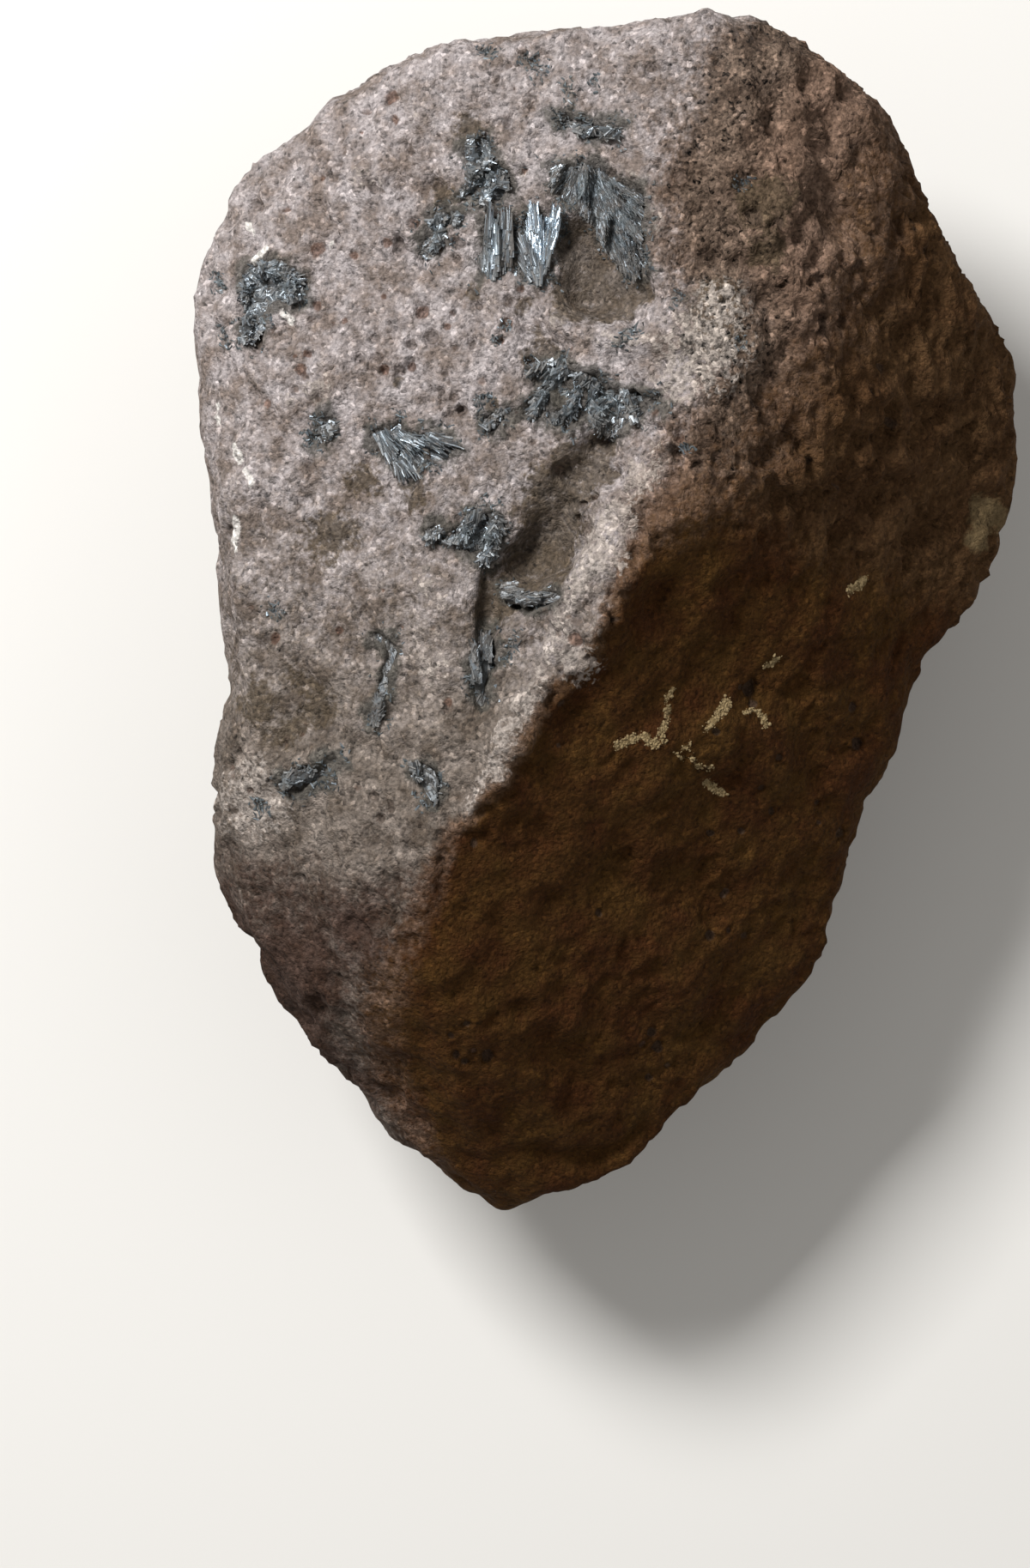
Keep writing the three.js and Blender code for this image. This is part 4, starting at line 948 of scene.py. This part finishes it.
def rock_material(settings):
    """Volcanic rock broken open: a matt, speckled, pinkish grey inside of feldspar and dark grains
    about 0.4 mm across, and a duller brown skin where the weather has oxidised it."""
    material, tree = new_paint("Broken and weathered volcanic rock")
    place = add(tree, "ShaderNodeTexCoord").outputs["Object"]
    near = {
        name: add(tree, "ShaderNodeAttribute", attribute_name=name).outputs["Fac"]
        for name, *_ in ZONES + OVERLAYS}
    specks = add(tree, "ShaderNodeTexVoronoi", {"Vector": place, "Scale": 1 / settings.speck_size})
    speck = add(tree, "ShaderNodeSeparateColor", {0: specks.outputs["Color"]})
    # Noise at the sizes of grains, of small and large blotches and of grit
    mottle, small, large, grit = (
        add(tree, "ShaderNodeTexNoise", {
            "Vector": place, "Scale": 1 / (size * MM), "Detail": detail, "Roughness": 0.66})
        for size, detail in ((0.8, 4.0), (3.2, 5.0), (6.5, 5.0), (0.5, 4.0)))
    blotches = {
        name: add(tree, "ShaderNodeMapRange", {"Value": cloud, 1: 0.38, 2: 0.62})
        for name, cloud in (("small", small), ("large", large))}
    centred = add(tree, "ShaderNodeMath", {0: mottle, 1: 0.5}, operation="SUBTRACT")
    swing = add(tree, "ShaderNodeMath", {0: centred, 1: 7.0}, operation="MULTIPLY")
    colour, contrast = None, None
    for name, light, dark, blotch, speckle in ZONES:
        tint = add(tree, "ShaderNodeMix", {
            0: blotches[blotch], 6: getattr(settings, light), 7: getattr(settings, dark)},
            data_type="RGBA").outputs[2]
        if colour is None:
            colour, contrast = tint, speckle
            continue
        # Noise breaks the edge of a zone only where the two kinds of surface meet
        rest = add(tree, "ShaderNodeMath", {0: 1.0, 1: near[name]}, operation="SUBTRACT")
        both = add(tree, "ShaderNodeMath", {0: rest, 1: near[name]}, operation="MULTIPLY")
        share = add(tree, "ShaderNodeMath", {0: both, 1: swing, 2: near[name]},
                    operation="MULTIPLY_ADD", use_clamp=True)
        colour = add(tree, "ShaderNodeMix", {0: share, 6: colour, 7: tint},
                     data_type="RGBA").outputs[2]
        contrast = add(tree, "ShaderNodeMix", {0: share, 2: contrast, 3: speckle},
                       data_type="FLOAT")
    for name, paint, cover, broken in OVERLAYS:
        edge = add(tree, "ShaderNodeMath", {0: centred, 1: broken, 2: near[name]},
                   operation="MULTIPLY_ADD")
        share = add(tree, "ShaderNodeMapRange", {"Value": edge, 1: 0.25, 2: 0.85, 4: cover},
                    interpolation_type="SMOOTHSTEP")
        kept = add(tree, "ShaderNodeMapRange", {"Value": near[name], 1: 0.02, 2: 0.3})
        share = add(tree, "ShaderNodeMath", {0: share, 1: kept}, operation="MULTIPLY")
        colour = add(tree, "ShaderNodeMix", {0: share, 6: colour, 7: getattr(settings, paint)},
                     data_type="RGBA").outputs[2]
    # A few specks are bright feldspar, more are dark grains, and grit varies the rest
    bright = add(tree, "ShaderNodeMapRange", {"Value": speck, 1: 0.84, 2: 1.0, 3: 0.0, 4: 0.8})
    dark = add(tree, "ShaderNodeMapRange", {"Value": speck, 1: 0.0, 2: 0.25, 3: -0.45, 4: 0.0})
    grey = add(tree, "ShaderNodeMapRange", {"Value": grit, 1: 0.3, 2: 0.7, 3: -0.5, 4: 0.5})
    total = add(tree, "ShaderNodeMath", {0: bright, 1: dark}, operation="ADD")
    total = add(tree, "ShaderNodeMath", {0: total, 1: grey}, operation="ADD")
    factor = add(tree, "ShaderNodeMath", {0: total, 1: contrast, 2: 1.0},
                 operation="MULTIPLY_ADD")
    colour = add(tree, "ShaderNodeVectorMath", {0: colour, 3: factor}, operation="SCALE")
    gloss = add(tree, "ShaderNodeMapRange", {"Value": near["fresh"], 3: 0.06, 4: 0.22})
    height = add(tree, "ShaderNodeMath", {0: specks.outputs["Distance"], 1: -0.3, 2: grit},
                 operation="MULTIPLY_ADD")
    height = add(tree, "ShaderNodeMath", {0: mottle, 1: 1.1, 2: height}, operation="MULTIPLY_ADD")
    bump = add(tree, "ShaderNodeBump", {
        "Strength": 1.0, "Distance": settings.grit_height, "Height": height})
    shader = add(tree, "ShaderNodeBsdfPrincipled", {
        "Base Color": colour, "Roughness": 0.9, "Normal": bump, "IOR": 1.5,
        "Specular IOR Level": gloss})
    add(tree, "ShaderNodeOutputMaterial", {"Surface": shader})
    return material


def crystal_material(settings):
    """Pyrolusite: slate-grey manganese oxide in striated blades, a few of them more metallic and
    smoother and painted a bright bluish white as painted glints, the rest crushed, sooty and dusted
    with rock."""
    material, tree = new_paint(BLADE_PAINT)
    place = add(tree, "ShaderNodeTexCoord").outputs["Object"]
    tone, edge = (
        add(tree, "ShaderNodeAttribute", attribute_name=name).outputs["Fac"]
        for name in ("tone", "dusty"))
    # Noise at the sizes of crushed patches, of clouds of soot and of the striae
    crushed, cloud, striae = (
        add(tree, "ShaderNodeTexNoise", {
            "Vector": place, "Scale": 1 / (size * MM), "Detail": 3.0, "Roughness": 0.62})
        for size in (0.7, 2.4, 0.16))
    soot = add(tree, "ShaderNodeMapRange", {"Value": cloud, 1: 0.4, 2: 0.6})
    colour = add(tree, "ShaderNodeMix", {0: soot, 6: settings.dark_blade, 7: settings.slate},
                 data_type="RGBA").outputs[2]
    dust = add(tree, "ShaderNodeMapRange", {"Value": crushed, 1: 0.5, 2: 0.7, 3: 0.0, 4: 0.7})
    edge = add(tree, "ShaderNodeMath", {0: edge, 1: crushed}, operation="MULTIPLY")
    dust = add(tree, "ShaderNodeMath", {0: dust, 1: edge}, operation="MAXIMUM")
    # The blade tone mixes in the bright blade colour, a painted glint, over the rock dust
    for share, paint in ((dust, settings.dust), (tone, settings.glint_blade)):
        colour = add(tree, "ShaderNodeMix", {0: share, 6: colour, 7: paint},
                     data_type="RGBA").outputs[2]
    metal = add(tree, "ShaderNodeMapRange", {"Value": tone, 2: 0.6, 3: 0.35, 4: 0.95})
    rough = add(tree, "ShaderNodeMapRange", {"Value": tone, 2: 0.6, 3: 0.52, 4: 0.3})
    bump = add(tree, "ShaderNodeBump", {
        "Strength": 0.6, "Distance": 0.08 * MM, "Height": striae})
    shader = add(tree, "ShaderNodeBsdfPrincipled", {
        "Base Color": colour, "Metallic": metal, "Roughness": rough, "Normal": bump})
    add(tree, "ShaderNodeOutputMaterial", {"Surface": shader})
    return material


def crumb_material(settings):
    """Cream calcite film: a thin, chalky, quite matt crust of crumbs under 0.5 mm."""
    material, tree = new_paint("Cream calcite crumbs")
    place = add(tree, "ShaderNodeTexCoord").outputs["Object"]
    patches = add(tree, "ShaderNodeTexNoise", {
        "Vector": place, "Scale": 1 / (0.8 * MM), "Detail": 2.0})
    colour = add(tree, "ShaderNodeMix", {0: patches, 6: settings.film_dark, 7: settings.film},
                 data_type="RGBA").outputs[2]
    shader = add(tree, "ShaderNodeBsdfPrincipled", {"Base Color": colour, "Roughness": 0.85})
    add(tree, "ShaderNodeOutputMaterial", {"Surface": shader})
    return material


def colour_setting(name, description, code):
    """A colour setting with an sRGB default."""
    return bpy.props.FloatVectorProperty(
        name=name, description=description, subtype="COLOR", size=4, min=0, max=1,
        default=linear(code))


def length_setting(name, description, millimetres):
    """A size setting with its default in millimetres."""
    return bpy.props.FloatProperty(
        name=name, description=description, subtype="DISTANCE", unit="LENGTH", min=0,
        default=millimetres * MM, precision=5)


class RockSettings(bpy.types.PropertyGroup):
    lump_size: length_setting("Lump size", "Width of the lumps on the rough face", 1.6)
    lump_height: length_setting("Lump height", "Height of the lumps on the rough face", 0.36)
    grain_size: length_setting("Grain size", "Width of the small grains", 0.85)
    grain_height: length_setting("Grain height", "Height of the small grains", 0.5)
    speck_size: length_setting("Speck size", "Width of the light and dark mineral specks", 0.42)
    grit_height: length_setting("Grit height", "Depth of the finest relief", 0.42)
    crumb_size: length_setting("Crumb size", "Width of the crumbs of the cream streaks", 0.24)
    fresh: colour_setting("Fresh face", "Pinkish grey inside of the rock", "#9b9392")
    fresh_dark: colour_setting("Fresh face, dark", "Its browner patches", "#71655e")
    # Painted shade: the fresh face's colour towards the bottom, darker where less light falls
    tawny: colour_setting("Low fresh face", "Browner grey of its lower part", "#776d65")
    lower_shade_dark: colour_setting("Low fresh face, dark", "The browner patches there", "#52483f")
    rough: colour_setting("Rough face", "Brown broken face", "#776153")
    rough_dark: colour_setting("Rough face, dark", "Its darker patches", "#59473b")
    # Partly painted shade, where the face turns from the light
    umber: colour_setting("Passage", "Grey brown between the fresh and the rough face", "#6a5a4e")
    umber_shade_dark: colour_setting("Passage, dark", "Its darker patches", "#463930")
    # Painted shade: the darker colours of the side turned from the light
    dusk: colour_setting("Right side", "Dark brown side of the rough face", "#523c27")
    dusk_dark: colour_setting("Right side, dark", "Its redder patches", "#45301e")
    strip: colour_setting("Lower left side", "Dark greyish brown side", "#4a3b34")
    strip_dark: colour_setting("Lower left side, dark", "Its darker patches", "#372820")
    skin: colour_setting("Skin", "Dark olive brown weathered skin", "#412c13")
    skin_dark: colour_setting("Skin, dark", "Its redder patches", "#39210f")
    back: colour_setting("Back", "Weathered underside", "#5a4634")
    back_dark: colour_setting("Back, dark", "Its darker patches", "#433022")
    # Also painted light: the pale colour is laid on lit crests, the shelf and high spots
    pale: colour_setting("Pale grains", "Pale feldspar", "#aaa098")
    # Also painted shade: it darkens hollows and slopes turned from the light
    rust: colour_setting("Iron stain", "Olive brown in the hollows", "#483d2f")
    brown: colour_setting("Lined gas holes", "Reddish brown lining of the larger gas holes", "#5e463a")
    ochre: colour_setting("Ochre chip", "Yellowish chip at the right edge", "#6a5a41")
    stain: colour_setting("Manganese stain", "Dark grey rock next to crystals", "#46443f")
    # Painted shade: the dark inside of the gas holes
    pit: colour_setting("Gas holes", "Dark inside of the small gas holes", "#4a3e36")
    film: colour_setting("Cream film", "Calcite on the skin", "#97845f")
    film_dark: colour_setting("Cream film, dark", "Its dirtier crumbs", "#655233")
    chalk: colour_setting("White chips", "Chips of white mineral at the left edge", "#cdc8c2")


class CrystalSettings(bpy.types.PropertyGroup):
    thickness: length_setting("Blade thickness", "Mean thickness of the fine blades", 0.18)
    density: bpy.props.FloatProperty(
        name="Blade density", description="Share of each crust's own number of blades",
        default=1.0, min=0)
    dark_blade: colour_setting("Dark blades", "Sooty blades", "#2a2e30")
    slate: colour_setting("Slate blades", "Dull grey blades", "#52595c")
    dust: colour_setting("Rock dust", "Rock dust on crushed blades", "#6c645d")
    # Painted glints: the bright bluish white of the blades that catch the light
    glint_blade: colour_setting("Bright blades", "Blades with the cleanest faces", "#b4c1cc")


class StageSettings(bpy.types.PropertyGroup):
    floor: colour_setting("Floor", "Pale matt floor", "#d3d1cd")
    floor_size: bpy.props.FloatProperty(
        name="Floor size", description="Side of the floor", unit="LENGTH", default=3.0)
    key_power: bpy.props.FloatProperty(
        name="Key light", description="Power of the main soft light", unit="POWER", default=7.4)
    fill_power: bpy.props.FloatProperty(
        name="Fill light", description="Power of the weaker light", unit="POWER", default=1.0)
    sky: bpy.props.FloatProperty(
        name="Sky", description="Strength of the light from all round", default=0.38)


class PYROLUSITE_OT_host_rock(bpy.types.Operator):
    """Builds the lump of volcanic rock round the CAD rock"""

    bl_idname = "pyrolusite.host_rock"
    bl_label = "Host rock"

    def execute(self, context):
        settings = context.scene.pyrolusite_rock
        points, triangles, attributes = rock_points()
        mesh = bpy.data.meshes.new("rock_surface")
        mesh.from_pydata((points * MM).tolist(), [], triangles.tolist())
        paint_attributes(mesh, attributes)
        mesh.polygons.foreach_set("use_smooth", np.ones(len(triangles), bool))
        rock = new_piece("rock_surface", mesh)
        run_tree(rock, grain_tree(), {
            "Lump size": settings.lump_size, "Lump height": settings.lump_height,
            "Grain size": settings.grain_size, "Grain height": settings.grain_height,
            "Material": rock_material(settings)})
        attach(rock, "root")
        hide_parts("host_rock")
        return {"FINISHED"}


class PYROLUSITE_OT_crystal_crusts(bpy.types.Operator):
    """Builds the sixteen crusts of pyrolusite blades, each round its CAD crust"""

    bl_idname = "pyrolusite.crystal_crusts"
    bl_label = "Crystal crusts"

    def execute(self, context):
        settings = context.scene.pyrolusite_crystals
        material = crystal_material(settings)
        tree = blade_tree()
        for index, (name, crust) in enumerate(CRUSTS.items()):
            node = "crystals_" + name
            source = bmesh.new()
            source.from_mesh(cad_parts[node].data)
            bmesh.ops.remove_doubles(source, verts=source.verts, dist=0.002 * MM)
            mesh = bpy.data.meshes.new(node)
            source.to_mesh(mesh)
            source.free()
            places = np.array([v.co for v in mesh.vertices])[:, :2] / MM
            inside = inside_distance(places, crust["outline"])
            # The glint places get more of the bright blade colour: painted highlights
            paint_attributes(mesh, {
                "everywhere": np.ones(len(places)),
                "shine": painted_glint_amount(places, crust.get("gleam", 1.0)),
                "dusty": 1 - smoothstep(-0.2, 1.2, inside)})
            piece = new_piece("blades_" + name, mesh)
            x, y = crust.get("focus", (0, 0))
            run_tree(piece, tree, {
                "Density": crust["dense"] * settings.density / MM**2,
                "Density name": "everywhere", "Length": crust["length"] * MM,
                "Width": crust["width"] * MM, "Thickness": settings.thickness,
                "Focus": (x * MM, y * MM, 0), "Fan": 1.0 if "focus" in crust else 0.0,
                "Run": math.radians(crust.get("angle", 0)),
                "Spread": math.radians(crust["spread"]), "Lift": math.radians(crust["lift"]),
                "Dullness": crust["dull"], "Facing": CRUSTS_FACE, "Keep base": True,
                "Seed": SEED + index, "Material": material})
            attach(piece, "root")
            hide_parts(node)
        return {"FINISHED"}


class PYROLUSITE_OT_crystal_flecks(bpy.types.Operator):
    """Scatters small lone crystals where the rock has them"""

    bl_idname = "pyrolusite.crystal_flecks"
    bl_label = "Crystal flecks"

    def execute(self, context):
        settings = context.scene.pyrolusite_crystals
        piece = new_piece("crystal_flecks", bpy.data.objects["rock_surface"].data.copy())
        run_tree(piece, blade_tree(), {
            **FLECK_BLADES, "Density": FLECK_DENSITY / MM**2, "Density name": "fleck",
            "Thickness": settings.thickness, "Facing": FLECKS_FACE, "Keep base": False, "Seed": SEED,
            "Material": bpy.data.materials[BLADE_PAINT]})
        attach(piece, "root")
        return {"FINISHED"}


class PYROLUSITE_OT_calcite_crumbs(bpy.types.Operator):
    """Scatters cream mineral crumbs along the streaks of the brown skin"""

    bl_idname = "pyrolusite.calcite_crumbs"
    bl_label = "Calcite crumbs"

    def execute(self, context):
        settings = context.scene.pyrolusite_rock
        piece = new_piece("calcite_crumbs", bpy.data.objects["rock_surface"].data.copy())
        run_tree(piece, crumb_tree(), {
            "Density": CRUMB_DENSITY / MM**2, "Density name": "film",
            "Crumb size": settings.crumb_size, "Seed": SEED,
            "Material": crumb_material(settings)})
        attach(piece, "root")
        return {"FINISHED"}


class PYROLUSITE_OT_stage(bpy.types.Operator):
    """Builds the pale floor, the soft lights and the camera above the rock"""

    bl_idname = "pyrolusite.stage"
    bl_label = "Floor, lights and camera"

    def execute(self, context):
        settings = context.scene.pyrolusite_stage
        half = settings.floor_size / 2
        mesh = bpy.data.meshes.new("floor")
        corners = [(-half, -half, 0), (half, -half, 0), (half, half, 0), (-half, half, 0)]
        mesh.from_pydata(corners, [], [(0, 1, 2, 3)])
        floor = new_piece("floor", mesh)
        material, tree = new_paint("Matt pale board")
        shader = add(tree, "ShaderNodeBsdfPrincipled", {
            "Base Color": settings.floor, "Roughness": 0.9, "Specular IOR Level": 0.2})
        add(tree, "ShaderNodeOutputMaterial", {"Surface": shader})
        mesh.materials.append(material)

        powers = (settings.key_power, settings.fill_power)
        for (name, (place, size)), power in zip(LIGHTS.items(), powers):
            lamp = bpy.data.lights.new(name, "AREA")
            lamp.size = size
            lamp.energy = power
            holder = bpy.data.objects.new(name, lamp)
            context.scene.collection.objects.link(holder)
            holder.location = place
            aim = Vector(LIGHTS_AIM) - Vector(place)
            holder.rotation_euler = aim.to_track_quat("-Z", "Y").to_euler()

        world = bpy.data.worlds.new("Soft room")
        world.use_nodes = True
        world.node_tree.nodes.clear()
        back = add(world.node_tree, "ShaderNodeBackground", {
            "Color": linear(SKY_COLOUR), "Strength": settings.sky})
        add(world.node_tree, "ShaderNodeOutputWorld", {0: back})
        context.scene.world = world
        context.scene.view_settings.view_transform = "Standard"

        camera = bpy.data.cameras.new("camera")
        camera.sensor_fit = "AUTO"
        camera.angle = CAMERA_HEIGHT_ANGLE
        camera.clip_start = CAMERA_NEAR
        holder = bpy.data.objects.new("camera", camera)
        context.scene.collection.objects.link(holder)
        holder.location = CAMERA_PLACE
        context.scene.camera = holder
        return {"FINISHED"}


STEPS = [
    PYROLUSITE_OT_host_rock,
    PYROLUSITE_OT_crystal_crusts,
    PYROLUSITE_OT_crystal_flecks,
    PYROLUSITE_OT_calcite_crumbs,
    PYROLUSITE_OT_stage,
]


class PYROLUSITE_PT_specimen(bpy.types.Panel):
    """Sizes, colours and steps of the specimen"""

    bl_idname = "PYROLUSITE_PT_specimen"
    bl_label = "Pyrolusite specimen"
    bl_space_type = "VIEW_3D"
    bl_region_type = "UI"
    bl_category = "Specimen"

    def draw(self, context):
        scene = context.scene
        for group in (scene.pyrolusite_rock, scene.pyrolusite_crystals, scene.pyrolusite_stage):
            box = self.layout.box()
            for name in group.__annotations__:
                box.prop(group, name)
        for step in STEPS:
            self.layout.operator(step.bl_idname)


CLASSES = [RockSettings, CrystalSettings, StageSettings, *STEPS, PYROLUSITE_PT_specimen]


def register():
    for cls in CLASSES:
        bpy.utils.register_class(cls)
    bpy.types.Scene.pyrolusite_rock = bpy.props.PointerProperty(type=RockSettings)
    bpy.types.Scene.pyrolusite_crystals = bpy.props.PointerProperty(type=CrystalSettings)
    bpy.types.Scene.pyrolusite_stage = bpy.props.PointerProperty(type=StageSettings)


def unregister():
    del bpy.types.Scene.pyrolusite_stage
    del bpy.types.Scene.pyrolusite_crystals
    del bpy.types.Scene.pyrolusite_rock
    for cls in reversed(CLASSES):
        bpy.utils.unregister_class(cls)


def main():
    """Builds the specimen and its stage."""
    register()
    bpy.ops.pyrolusite.host_rock()
    bpy.ops.pyrolusite.crystal_crusts()
    bpy.ops.pyrolusite.crystal_flecks()
    bpy.ops.pyrolusite.calcite_crumbs()
    bpy.ops.pyrolusite.stage()


if __name__ == "__main__":
    main()
